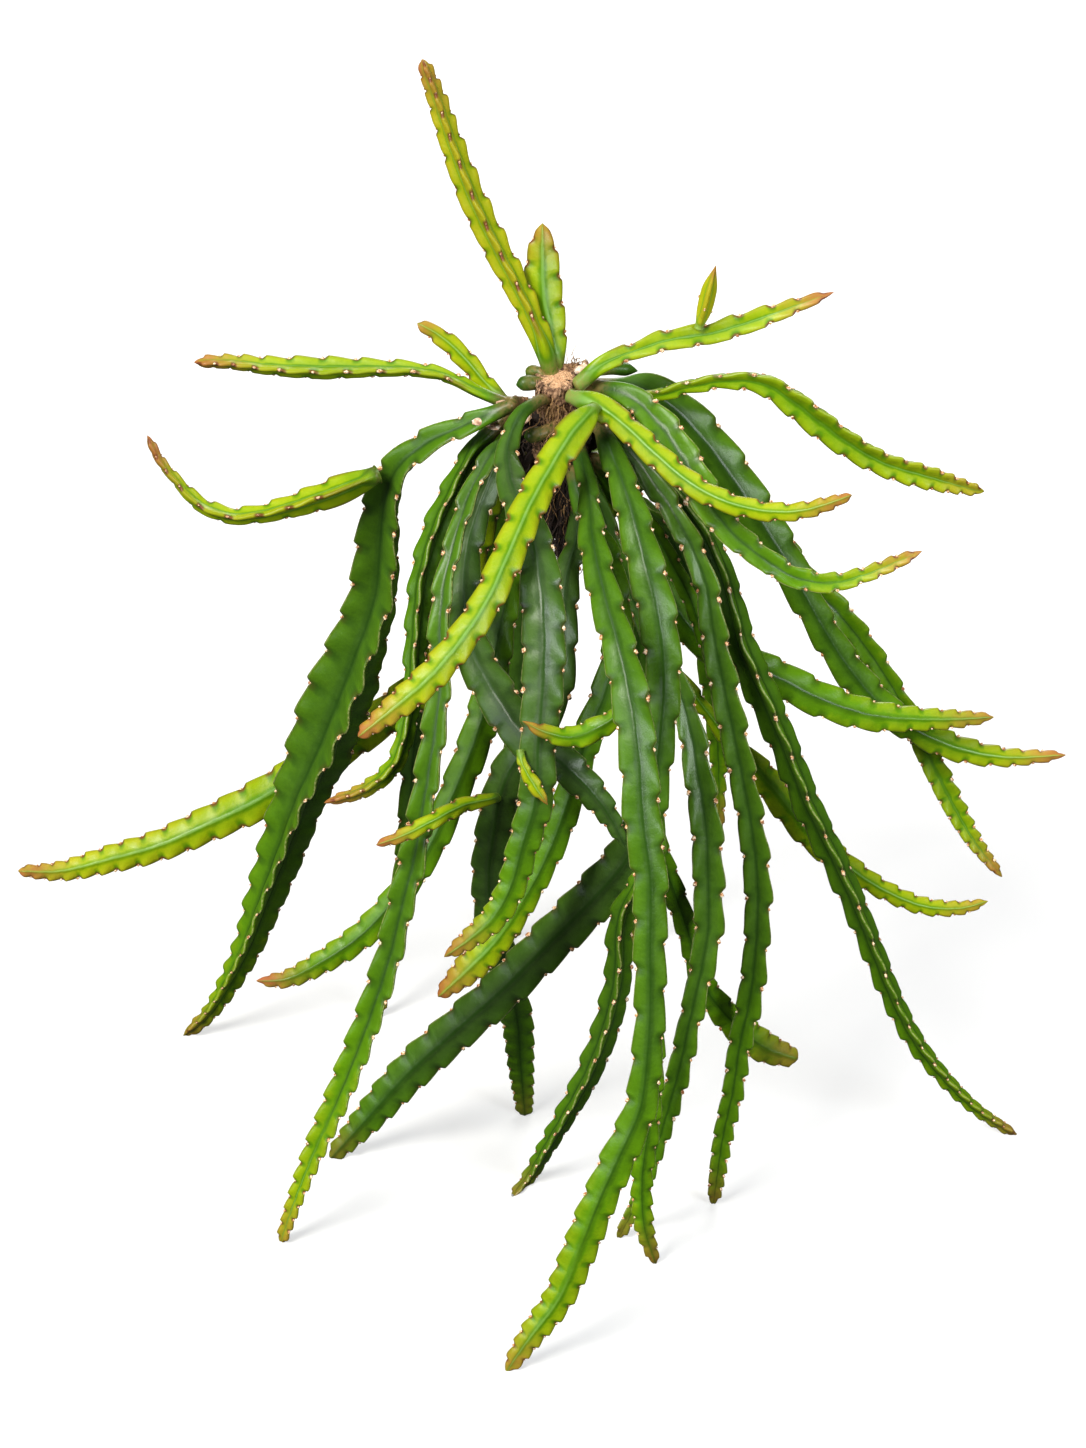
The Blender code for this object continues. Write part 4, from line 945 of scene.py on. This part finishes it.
def material(name):
    """A new material of that name, its tree and its shader, or the one that is there and None."""
    made = bpy.data.materials.get(name)
    if made is not None:
        return made, None, None
    made = bpy.data.materials.new(name)
    made.use_nodes = True
    return made, made.node_tree, made.node_tree.nodes["Principled BSDF"]


def feed(tree, node, links):
    """Sets a node's sockets. Each of links is a socket's value, or the output that feeds it."""
    for name, value in links.items():
        socket = node.inputs[name]
        if isinstance(value, bpy.types.NodeSocket):
            tree.links.new(value, socket)
        else:
            socket.default_value = value


def add(tree, kind, links, **settings):
    """Adds a node with its settings, and feeds its sockets."""
    node = tree.nodes.new(kind)
    for name, value in settings.items():
        setattr(node, name, value)
    feed(tree, node, links)
    return node


def maths(tree, operation, *values):
    return add(tree, "ShaderNodeMath", dict(enumerate(values)), operation=operation).outputs[0]


def place_in(tree):
    return add(tree, "ShaderNodeTexCoord", {}).outputs["Object"]


def marks_of(tree, size, detail=2.0, roughness=0.5):
    """Soft, uneven marks about that size across."""
    links = {"Vector": place_in(tree), "Scale": 1 / size, "Detail": detail, "Roughness": roughness}
    return add(tree, "ShaderNodeTexNoise", links).outputs["Fac"]


def bump(tree, height, strength, depth, **normal):
    links = {"Height": height, "Strength": strength, "Distance": depth, **normal}
    return add(tree, "ShaderNodeBump", links).outputs["Normal"]


def rgba(colour):
    return (*colour[:3], 1.0)


def ramp(tree, value, *stops):
    """The colour that a value has between stops: (place, colour)."""
    node = add(tree, "ShaderNodeValToRGB", {"Fac": value})
    elements = node.color_ramp.elements
    while len(elements) < len(stops):
        elements.new(0.5)
    for element, (place, colour) in zip(elements, stops):
        element.position = place
        element.color = rgba(colour)
    return node.outputs["Color"]


def waxy_skin(tone, colours):
    """Living stem skin under a thin wax, as leaves have: a soft gloss over mottled green, with a raised rib,
    painted shade in the folds at the notches, painted light towards the margins, a painted highlight along
    grown margins, a painted grey sheen on grown skin, and cork where it is old or rubbed."""
    made, tree, shader = material(f"waxy_skin_{tone}")
    if tree is None:
        return made

    def value_of(name):
        return add(tree, "ShaderNodeAttribute", {}, attribute_name=name).outputs["Fac"]

    def step(value, low, high, bottom=0.0, top=1.0):
        links = {"Value": value, "From Min": low, "From Max": high, "To Min": bottom, "To Max": top}
        return add(tree, "ShaderNodeMapRange", links, interpolation_type="SMOOTHSTEP").outputs["Result"]

    def product(value, other):
        return maths(tree, "MULTIPLY", value, other)

    def added(value, factor, other):
        return maths(tree, "MULTIPLY_ADD", value, factor, other)

    def blend(share, colour, other):
        links = {0: share, 6: colour, 7: rgba(other)}
        return add(tree, "ShaderNodeMix", links, data_type="RGBA").outputs[2]

    ripeness, across, notch, old_cork, blush = (value_of(name) for name in Gather.VALUES)
    mottle = marks_of(tree, SKIN_MOTTLE, 4.0, 0.6)
    grain = marks_of(tree, SKIN_GRAIN, 3.0, 0.6)
    # Painted shade: a mask for the folds that run in from the notches, where the crenations shade the skin
    fold = product(step(notch, 0.35, 1.0), step(across, 0.25, 0.95))
    beside = step(across, 0.36, 0.12)

    # Painted light: the skin is lighter and yellower towards the margins, for light shining through the thin
    # wings. Painted shade: the folds at the notches are darker and greener. The strips beside the rib are
    # greener.
    ripe = added(mottle, 0.24, ripeness)
    ripe = added(grain, 0.10, ripe)
    ripe = added(step(across, 0.2, 0.8), 0.09, ripe)
    ripe = added(fold, step(ripeness, 0.5, 0.8, -0.24, -0.42), ripe)
    ripe = added(beside, step(ripeness, 0.5, 0.75, -0.14, -0.18), ripe)
    ripe = maths(tree, "ADD", ripe, -0.20)
    greens = (colours.oldest, colours.mature, colours.leaf, colours.bright, colours.lime)
    colour = ramp(tree, ripe, *zip((0.0, 0.25, 0.5, 0.75, 1.0), greens))
    # Painted sheen: grown skin turns greyer in patches, standing in for the sheen of its wax
    bloom = product(step(ripeness, 0.34, 0.12), step(mottle, 0.36, 0.62, 0.13, 0.19))
    colour = blend(product(bloom, step(across, 1.0, 0.5, 0.3, 1.0)), colour, colours.bloom)
    # The midrib is pale while the stem is young, and dark once it is grown
    middle = step(across, 0.12, 0.02)
    colour = blend(product(middle, step(ripeness, 0.55, 0.75, 0.0, 0.34)), colour, colours.rib)
    colour = blend(product(middle, step(ripeness, 0.62, 0.5, 0.0, 0.7)), colour, colours.oldest)
    # The flush leaves the rib green until near the very tip
    flush = product(blush, step(across, 0.0, 0.3, 0.35, 1.0))
    colour = blend(product(flush, step(mottle, 0.3, 0.6, 0.55, 1.0)), colour, colours.blush)
    # Painted highlight: grown margins get a thin pale line where light catches them. Young margins are brown
    # where the crenation folds in
    edge = product(step(across, 0.94, 0.995), step(grain, 0.34, 0.6, 0.05, 0.6))
    colour = blend(product(edge, step(ripeness, 0.75, 0.45)), colour, colours.edge)
    burnt = product(step(across, 0.7, 0.95), step(notch, 0.2, 0.9, 0.25, 1.0))
    colour = blend(product(burnt, step(ripeness, 0.45, 0.8, 0.15, 0.95)), colour, colours.margin)
    colour = blend(product(old_cork, step(grain, 0.3, 0.6, 0.2)), colour, colours.cork)
    fine = bump(tree, grain, 0.35, 0.25 * MM)
    feed(tree, shader, {
        "Base Color": colour,
        "Roughness": step(mottle, 0.2, 0.8, 0.30, 0.46),
        "Normal": bump(tree, mottle, 0.5, 1.2 * MM, Normal=fine),
        "IOR": 1.4,
        "Specular IOR Level": 0.26,
        "Coat Weight": COAT_OF_TONE[tone],
        "Coat Roughness": 0.3,
    })
    return made


def patterned(name, pattern, stops, strength, depth, looks):
    """A material that one pattern, made in its tree, colours, and raises too where depth isn't 0."""
    made, tree, shader = material(name)
    if tree is not None:
        height = pattern(tree)
        feed(tree, shader, {"Base Color": ramp(tree, height, *stops), **looks})
        if depth:
            feed(tree, shader, {"Normal": bump(tree, height, strength, depth)})
    return made


def areole_wool():
    """Short felt in the notches: cream, with brown scale tips, and no gloss at all."""
    tufts = partial(marks_of, size=WOOL_TUFT, detail=3.0)
    stops = (0.40, linear("#8A4E28")), (0.50, linear("#D8A06A")), (0.62, linear("#F6E2C0"))
    return patterned("areole_wool", tufts, stops, 0.8, 0.3 * MM, {"Roughness": 0.9, "Sheen Weight": 0.3})


def bristle_horn():
    """Horn-like bristles, golden and slightly glossy."""
    stops = (0.3, linear("#B98A4E")), (0.7, linear("#E6CC96"))
    return patterned("bristle_horn", partial(marks_of, size=HORN_TINT), stops, 0, 0, {"Roughness": 0.5})


def ring_pattern(tree):
    """Growth rings round the branch's middle, wavering a little, under fine flecks."""
    centred = add(tree, "ShaderNodeVectorMath", {0: place_in(tree), 1: tuple(-CROWN)}, operation="ADD")
    reach = add(tree, "ShaderNodeVectorMath", {0: centred.outputs[0]}, operation="LENGTH").outputs["Value"]
    turn = maths(tree, "MULTIPLY", reach, 2 * math.pi / GROWTH_RING)
    turn = maths(tree, "MULTIPLY_ADD", marks_of(tree, RING_WAVER, 4.0), 9.0, turn)
    fleck = marks_of(tree, WOOD_FLECK, 5.0, 0.7)
    return maths(tree, "MULTIPLY_ADD", maths(tree, "SINE", turn), 0.10, fleck)


def sawn_wood(colours):
    """Dry, sawn wood: tan, with faint growth rings and a rough, flecked face. It has no gloss."""
    stops = (0.25, linear("#7C5537")), (0.45, colours.sawn), (0.75, linear("#DDB892"))
    return patterned("sawn_wood", ring_pattern, stops, 0.9, 0.4 * MM, {"Roughness": 0.88})


def plate_pattern(tree):
    """Plates two and a half times as long as wide, which run with the branch, under flecks."""
    links = {0: place_in(tree), 1: (1.0, 1.0, 0.4)}
    stretched = add(tree, "ShaderNodeVectorMath", links, operation="MULTIPLY").outputs[0]
    links = {"Vector": stretched, "Scale": 1 / BARK_PLATE}
    plate = add(tree, "ShaderNodeTexVoronoi", links, feature="DISTANCE_TO_EDGE").outputs["Distance"]
    return maths(tree, "MULTIPLY_ADD", plate, 0.5, marks_of(tree, BARK_FLECK, 6.0, 0.7))


def bark(colours):
    """Old bark: brown, dull and flaking, in long plates."""
    pale = (0.64, linear("#A88262")), (0.78, linear("#CBA684"))
    stops = (0.36, linear("#3C271B")), (0.50, colours.bark), *pale
    return patterned("bark", plate_pattern, stops, 1.0, 0.8 * MM, {"Roughness": 0.9})


def root_fibre(name, dark, light):
    """Dry root and stem fibre, dull, patched with dark and pale."""
    patches = partial(marks_of, size=FIBRE_PATCH, detail=5.0, roughness=0.7)
    return patterned(name, patches, ((0.35, dark), (0.68, light)), 0.8, 0.5 * MM, {"Roughness": 0.92})


def husk_paper(colours):
    """Papery bud scales: thin, dry, pinkish tan and mottled, with next to no gloss."""
    mottling = partial(marks_of, size=HUSK_MOTTLE, detail=4.0)
    stops = (0.32, linear("#8E6650")), (0.48, colours.husk), (0.64, linear("#F0E2D2"))
    return patterned("husk_paper", mottling, stops, 0.6, 0.3 * MM, {"Roughness": 0.75})


def light_table(colour):
    """A light table: a matt white acrylic top, lit from below, which leaves only faint shadows on it."""
    made, tree, shader = material("light_table_acrylic")
    if tree is None:
        return made
    tint = ramp(tree, marks_of(tree, TABLE_TINT), (0.3, [0.985 * c for c in colour]), (0.7, colour))
    feed(tree, shader, {
        "Base Color": tint,
        "Emission Color": tint,
        "Emission Strength": 1.05,
        "Roughness": 0.85,
        "Specular IOR Level": 0.0,
    })
    return made


# The crown


def from_cut(points):
    return CROWN + np.asarray(points, float) * MM


def rough_rings(profile, uneven):
    """Rings round the branch's axis at (depth, radius) in metres, roughened by a fixed noise."""
    turns = 2 * math.pi * np.arange(WOOD_SIDES) / WOOD_SIDES
    rings = []
    for depth, radius in profile:
        # The sawn top leans towards the viewer, and the lean fades out further down
        lean = CUT_LEAN * max(0.0, 1 - depth / LEAN_DEPTH)
        ring = []
        for turn in turns:
            across, back = math.cos(turn) * radius, math.sin(turn) * radius
            spot = Vector((math.cos(turn), math.sin(turn), -depth * 60))
            plates = noise.fractal(spot * 3.4, 0.7, 2.0, 5)
            swell = 1 + 0.07 * math.sin(3 * turn - 110 * depth) + uneven * plates
            chip = 0.5 * MM * noise.fractal(spot * 5.0, 0.8, 2.0, 3) * min(1, depth / (0.4 * MM) + 0.3)
            ring.append(CROWN + np.array((across * swell, back * swell, chip - depth + lean * back)))
        rings.append(ring)
    return np.array(rings)


def add_lumps(gather, lumps, size, uneven, grain):
    """Balls with the half sizes that lumps gives, roughened by a fixed noise."""
    points, faces = ball(4)
    for centre, half in lumps:
        swells = [noise.fractal(Vector(point) * grain + Vector(centre), 0.6, 2.1, 5) for point in points]
        shape = points * (size + uneven * np.array(swells))[:, None]
        gather.add(from_cut(shape * half + centre), faces, 0)


def add_flakes(gather, depths, radii):
    """Bark flakes that lift from the trunk, mostly on the side that is seen."""
    chance = random.Random(3)
    for _ in range(FLAKE_COUNT):
        turn = math.radians(chance.uniform(150, 390))
        depth = chance.uniform(0.5, 30)
        radius = 1.02 * float(np.interp(depth, depths, radii))
        spot = CROWN + np.array((math.cos(turn) * radius, math.sin(turn) * radius, -depth * MM))
        out = np.array((math.cos(turn), math.sin(turn), chance.uniform(-0.3, 0.5)))
        along = unit(np.cross(out, (0, 0, 1)) * chance.uniform(-0.6, 0.6) + (0, 0, -1))
        across = unit(np.cross(along, out))
        size = chance.uniform(1.0, 2.8) * MM
        flake = []
        for place in np.linspace(0, 1, 5):
            middle = spot + along * size * (place - 0.5) * 1.5 + out * size * 0.5 * (place - 0.2) ** 2
            taper = math.sin(math.pi * (0.15 + 0.7 * place))
            half = across * (0.5 * size * taper * chance.uniform(0.7, 1.2))
            flake.append([middle - half, middle + out * 0.25 * MM, middle + half, middle - out * 0.1 * MM])
        add_tube(gather, np.array(flake), 0)


def crown_wood(colours):
    """The cut branch: a sawn face inside a raised rim of bark, and the old wood down to the hanging roots."""
    gather = Gather()
    # Depth in mm below the cut, and radius
    stations = (
        (1, 1.08 * CUT_RADIUS), (6, 1.02 * CUT_RADIUS), (16, BARK_RADIUS), (30, 1.3 * BARK_RADIUS),
        (48, 1.15 * BARK_RADIUS), (66, 0.8 * BARK_RADIUS), (91, 0.25 * BARK_RADIUS),
    )
    known_depths, known_radii = zip(*stations)
    depths = np.concatenate((np.arange(1, 18, 0.5), np.arange(18, 91, 1.2)))
    radii = np.interp(depths, known_depths, known_radii)
    rim = [(0.9 * MM, 0.80 * CUT_RADIUS), (0.1 * MM, 0.95 * CUT_RADIUS), (0.3 * MM, 1.04 * CUT_RADIUS)]
    add_tube(gather, rough_rings(rim + list(zip(depths * MM, radii)), 0.15), 0)
    face = rough_rings([(0.6 * MM, 0.93 * CUT_RADIUS * share) for share in np.linspace(0.02, 1, 22)], 0.05)
    for point in face.reshape(-1, 3):
        point[2] += 0.45 * MM * noise.fractal(Vector(point) * 420, 0.7, 2.0, 4)
    add_tube(gather, face, 1)
    add_lumps(gather, BARK_LUMPS, 0.82, 0.4, 2.2)
    add_flakes(gather, known_depths, known_radii)
    return gather.make("crown_wood", (bark(colours), sawn_wood(colours)))


def root_line(chance, start, heading, length, steps, droop):
    """A line that wanders from start and bends down, as an old root does."""
    points, aim = [np.array(start, float)], unit(np.array(heading, float))
    for _ in range(steps):
        sway = np.array([chance.gauss(0, 0.42) for _ in range(3)])
        aim = unit(aim + 0.9 * sway + (0, 0, -droop))
        points.append(points[-1] + aim * length / steps)
    return np.array(points)


# Matted root and bark round the stalks, and the bundles that hang from it: centre from the cut and half sizes
ROOT_MATS = (
    ((7, -5, -27), (12, 11, 12)),
    ((-10, -1, -23), (13, 9, 9)),
    ((11, 3, -19), (9, 8, 8)),
    ((0, -7, -42), (9, 8, 16)),
    ((3, -10, -62), (6, 5, 30)),
    ((14, 6, -36), (9, 8, 12)),
    ((19, 9, -15), (11, 7, 6)),
    ((-14, 7, -45), (10, 8, 18)),
    ((3, -7, -84), (4, 4, 16)),
)
# Old wood that stands up behind the cut and beside it
BARK_LUMPS = (
    ((6, 10, -2), (8, 5, 5)),
    ((-7, 8, -5), (6, 5, 6)),
    ((-20, -3, -13), (6, 4, 4)),
    ((12, 5, -9), (6, 5, 5)),
)
# Where fibres start: centre, spread, mean heading, length, how many, and how much they droop
FIBRE_GROUPS = (
    ((2, -11, -30), (9, 5, 10), (0.1, -1.0, -0.6), 16, 130, 0.25),
    ((-9, -5, -24), (9, 5, 6), (-0.5, -0.8, -0.4), 13, 70, 0.2),
    ((14, 0, -18), (5, 5, 6), (0.6, -0.6, 0.1), 11, 50, 0.15),
    ((1, -11, -46), (6, 3, 14), (0.0, -0.2, -1.0), 34, 90, 0.6),
    ((4, -11, -68), (7, 4, 16), (0.0, -0.2, -1.0), 26, 90, 0.5),
    ((2, -8, -82), (5, 4, 10), (-0.1, -0.1, -1.0), 18, 80, 0.6),
    ((19, 5, -12), (8, 5, 4), (0.4, -0.8, 0.1), 12, 60, 0.15),
)
STRAW_GROUPS = (
    ((-5, -12, -24), (5, 3, 4), (-0.2, -0.6, 0.1), 13, 22, 0.05),
    ((12, 2, -9), (5, 4, 4), (0.5, -0.3, 0.5), 10, 14, 0.05),
    ((18, 3, -11), (7, 4, 3), (0.3, -0.6, 0.4), 9, 24, 0.05),
    ((9, 10, 2), (6, 3, 2), (0.3, -0.2, 0.9), 7, 16, 0.02),
    ((-2, -13, -40), (4, 2, 10), (0.0, -0.3, -0.8), 22, 18, 0.3),
    ((0, -11, -12), (8, 3, 6), (0.0, -0.25, -1.0), 9, 60, 0.5),
    ((-7, -8, -10), (3, 3, 5), (0.0, -0.25, -1.0), 9, 24, 0.5),
    ((4, -14, -66), (5, 2, 14), (0.0, -0.3, -0.8), 16, 16, 0.3),
)
# Papery scales: centre in mm from the cut, length, width, turn about the upright and tilt in degrees
HUSKS = (
    ((11, 8, -1), 7, 4, 30, 35),
    ((14, 9, -2), 7, 5, 80, 20),
    ((9, 9, 0), 6, 4, -20, 40),
    ((17, 8, -4), 6, 4, 120, 10),
    ((13, 3, -8), 7, 5, 10, -10),
    ((17, 1, -12), 7, 4, 40, -20),
    ((-31, -15, -19), 12, 6, 190, 20),
    ((-28, -16, -21), 9, 5, 150, -20),
    ((20, -1, -8), 8, 5, 20, 10),
    ((24, 1, -10), 7, 4, 100, -15),
    ((15, -2, -9), 6, 4, -30, 15),
    ((-12, -9, -18), 8, 4, 200, -30),
    ((17, -4, -16), 9, 4, 10, -30),
    ((-24, -4, -14), 8, 4, 170, 35),
    ((24, 2, -12), 8, 4, 60, -10),
)


def crown_roots(colours):
    """The matted roots: rough lumps under several hundred wandering fibres."""
    gather = Gather()
    add_lumps(gather, ROOT_MATS, 0.86, 0.30, 2.4)
    chance = random.Random(11)
    for slot, groups, thick in ((0, FIBRE_GROUPS, FIBRE_RADIUS), (1, STRAW_GROUPS, STRAW_RADIUS)):
        for centre, spread, heading, length, count, droop in groups:
            for _ in range(count):
                start = [chance.gauss(middle, reach / 1.8) for middle, reach in zip(centre, spread)]
                line = root_line(chance, start, heading, length * chance.uniform(0.5, 1.3), 9, droop)
                radii = thick * chance.uniform(0.5, 1.3) * np.linspace(1, 0.35, len(line)) * MM
                add_tube(gather, thread(from_cut(line), radii, 5), slot)
    # Partly painted shade: both root colours are darkened for the shade under the crown
    fibre = root_fibre("root_fibre", linear("#160E09"), colours.root)
    straw = root_fibre("straw_fibre", colours.bark, colours.straw)
    return gather.make("crown_roots", (fibre, straw))


def husk_rings(length, width, curl):
    """Rings of one curled scale along +X, each a thin bent strip."""
    rings = []
    arc = np.linspace(-1, 1, 9)
    for place in np.linspace(0, 1, 15):
        half = 0.5 * width * math.sin(math.pi * (0.08 + 0.84 * place)) ** 0.7
        bend = curl * (0.4 + 0.8 * place)
        across = 1.3 * half * np.sin(bend * arc) / bend
        outer = [(place * length, y, half * math.cos(bend * a)) for y, a in zip(across, arc)]
        inner = [(x, 0.93 * y, z - HUSK_THICKNESS) for x, y, z in outer[::-1]]
        rings.append(outer + inner)
    rings = np.array(rings)
    rings[..., 2] += 0.06 * length * np.sin(2.6 * rings[..., 0] / length)
    return rings


def crown_husks(colours):
    """Dry bud scales caught between the stalks."""
    gather = Gather()
    chance = random.Random(5)
    for centre, length, width, turn, tilt in HUSKS:
        rings = husk_rings(length, width, chance.uniform(0.8, 1.6))
        spin = Matrix.Rotation(math.radians(turn), 3, "Z") @ Matrix.Rotation(math.radians(-tilt), 3, "Y")
        # Each scale faces the front more or less
        spin = Matrix.Rotation(chance.uniform(0.3, 1.2), 3, "X") @ spin
        add_tube(gather, from_cut(rings @ np.array(spin).T + centre), 0)
    return gather.make("crown_husks", (husk_paper(colours),))


# Operators


class BuildsStems:
    """What the operators for the stems share."""

    bl_options = {"REGISTER", "UNDO"}
    stems = ()

    def execute(self, context):
        build_stems(context, self.stems)
        return {"FINISHED"}


def of_tone(tone):
    return [stem for stem in SEEN_STEMS + BACK_STEMS if stem.tone == tone]


class CUTTING_OT_mature_stems(BuildsStems, bpy.types.Operator):
    """Build the old, dark stems"""

    bl_idname = "cutting.mature_stems"
    bl_label = "Mature stems"
    stems = of_tone("mature")


class CUTTING_OT_leaf_stems(BuildsStems, bpy.types.Operator):
    """Build the mid-green stems"""

    bl_idname = "cutting.leaf_stems"
    bl_label = "Mid-green stems"
    stems = of_tone("leaf")


class CUTTING_OT_young_stems(BuildsStems, bpy.types.Operator):
    """Build the young, yellow-green stems"""

    bl_idname = "cutting.young_stems"
    bl_label = "Young stems"
    stems = of_tone("young")


class CUTTING_OT_cut_stubs(BuildsStems, bpy.types.Operator):
    """Build the round green stubs of stems that were cut off"""

    bl_idname = "cutting.cut_stubs"
    bl_label = "Cut stubs"
    stems = CUT_STUBS


class CUTTING_OT_crown(bpy.types.Operator):
    """Build the sawn branch with its bark, the matted roots and the dry scales"""

    bl_idname = "cutting.crown"
    bl_label = "Woody crown"
    bl_options = {"REGISTER", "UNDO"}

    def execute(self, context):
        colours = context.scene.crown_colours
        wood = crown_wood(colours)
        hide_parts("woody_crown")
        for piece in (wood, crown_roots(colours), crown_husks(colours)):
            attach(piece, "root")
        return {"FINISHED"}


FLOOR_REACH = 30.0  # from its middle to each edge
KEY_PLACE = (-1.0, -1.2, 1.8)
KEY_ANGLE = math.radians(24)  # how wide the sun looks, for soft shadows

# The softboxes: name, place, size, the setting that gives its watts, and colour
SOFTBOXES = (
    ("side_light", (1.3, -1.3, 1.1), 0.9, "side", "#F4F8FF"),
    ("left_light", (-1.5, -0.9, 0.6), 1.0, "left", "#EEF5FF"),
    ("back_light", (0.4, 1.7, 1.3), 1.4, "back", "#FFFDF8"),
    ("top_light", (-0.1, -0.35, 2.0), 1.5, "top", "#F6F9FF"),
)
LIT_PLACE = (0.0, 0.0, 0.3)


def turned_from(place):
    """How a light at that place is turned towards the middle of the clump."""
    return (Vector(LIT_PLACE) - Vector(place)).to_track_quat("-Z", "Y").to_euler()


def area_light(name, place, size, power, colour):
    light = bpy.data.lights.new(name, "AREA")
    light.shape = "DISK"
    light.size = size
    light.energy = power
    light.color = colour
    made = bpy.data.objects.new(name, light)
    made.location = place
    made.rotation_euler = turned_from(place)
    bpy.context.scene.collection.objects.link(made)


class CUTTING_OT_stage(bpy.types.Operator):
    """Set up the pale floor, the soft studio light and the camera"""

    bl_idname = "cutting.stage"
    bl_label = "Stage"
    bl_options = {"REGISTER", "UNDO"}

    def execute(self, context):
        look = context.scene.stage_look
        mesh = bmesh.new()
        bmesh.ops.create_grid(mesh, x_segments=8, y_segments=8, size=FLOOR_REACH)
        data = bpy.data.meshes.new("studio_floor")
        mesh.to_mesh(data)
        mesh.free()
        data.materials.append(light_table(look.floor))
        floor = bpy.data.objects.new("studio_floor", data)
        context.scene.collection.objects.link(floor)
        # The lit table isn't mirrored in the skin and lends it no green or white
        floor.visible_diffuse = False
        floor.visible_glossy = False

        world = bpy.data.worlds.new("white_surround")
        world.use_nodes = True
        surround = world.node_tree.nodes["Background"]
        feed(world.node_tree, surround, {"Color": (1, 1, 1, 1), "Strength": look.sky})
        context.scene.world = world

        key = bpy.data.lights.new("key_light", "SUN")
        key.energy = look.key
        key.color = linear("#FFFCF4")
        key.angle = KEY_ANGLE
        key_light = bpy.data.objects.new("key_light", key)
        key_light.rotation_euler = turned_from(KEY_PLACE)
        context.scene.collection.objects.link(key_light)
        for name, place, size, setting, colour in SOFTBOXES:
            area_light(name, place, size, getattr(look, setting), linear(colour))

        view = bpy.data.cameras.new("camera")
        view.sensor_fit = "VERTICAL"
        view.sensor_height = 24.0
        view.lens = view.sensor_height * VIEW_DISTANCE / VIEW_HEIGHT
        view.clip_start = 0.05
        view.clip_end = 30.0
        camera = bpy.data.objects.new("camera", view)
        turn = np.eye(4)
        turn[:3, 0], turn[:3, 1], turn[:3, 2], turn[:3, 3] = RIGHT, UP, NEAR, CROWN + VIEWER
        camera.matrix_world = Matrix(turn.tolist())
        context.scene.collection.objects.link(camera)
        context.scene.camera = camera
        context.scene.view_settings.view_transform = "Standard"
        return {"FINISHED"}


class CUTTING_PT_panel(bpy.types.Panel):
    """Lists what builds the cutting"""

    bl_idname = "CUTTING_PT_panel"
    bl_label = "Rhipsalis cutting"
    bl_space_type = "VIEW_3D"
    bl_region_type = "UI"
    bl_category = "Cutting"

    def draw(self, context):
        column = self.layout.column()
        for operator in OPERATORS:
            column.operator(operator.bl_idname)
        for name in GROUPS:
            group = getattr(context.scene, name)
            box = self.layout.box()
            for key in type(group).__annotations__:
                box.prop(group, key)


OPERATORS = (
    CUTTING_OT_stage,
    CUTTING_OT_crown,
    CUTTING_OT_cut_stubs,
    CUTTING_OT_mature_stems,
    CUTTING_OT_leaf_stems,
    CUTTING_OT_young_stems,
)
GROUPS = {
    "stem_sizes": StemSizes,
    "skin_colours": SkinColours,
    "crown_colours": CrownColours,
    "stage_look": StageLook,
}


def register():
    for kind in (*GROUPS.values(), *OPERATORS, CUTTING_PT_panel):
        bpy.utils.register_class(kind)
    for name, kind in GROUPS.items():
        setattr(bpy.types.Scene, name, bpy.props.PointerProperty(type=kind))


def unregister():
    for name in GROUPS:
        delattr(bpy.types.Scene, name)
    for kind in reversed((*GROUPS.values(), *OPERATORS, CUTTING_PT_panel)):
        bpy.utils.unregister_class(kind)


def main():
    register()
    bpy.ops.cutting.stage()
    bpy.ops.cutting.crown()
    bpy.ops.cutting.cut_stubs()
    bpy.ops.cutting.mature_stems()
    bpy.ops.cutting.leaf_stems()
    bpy.ops.cutting.young_stems()


if __name__ == "__main__":
    main()
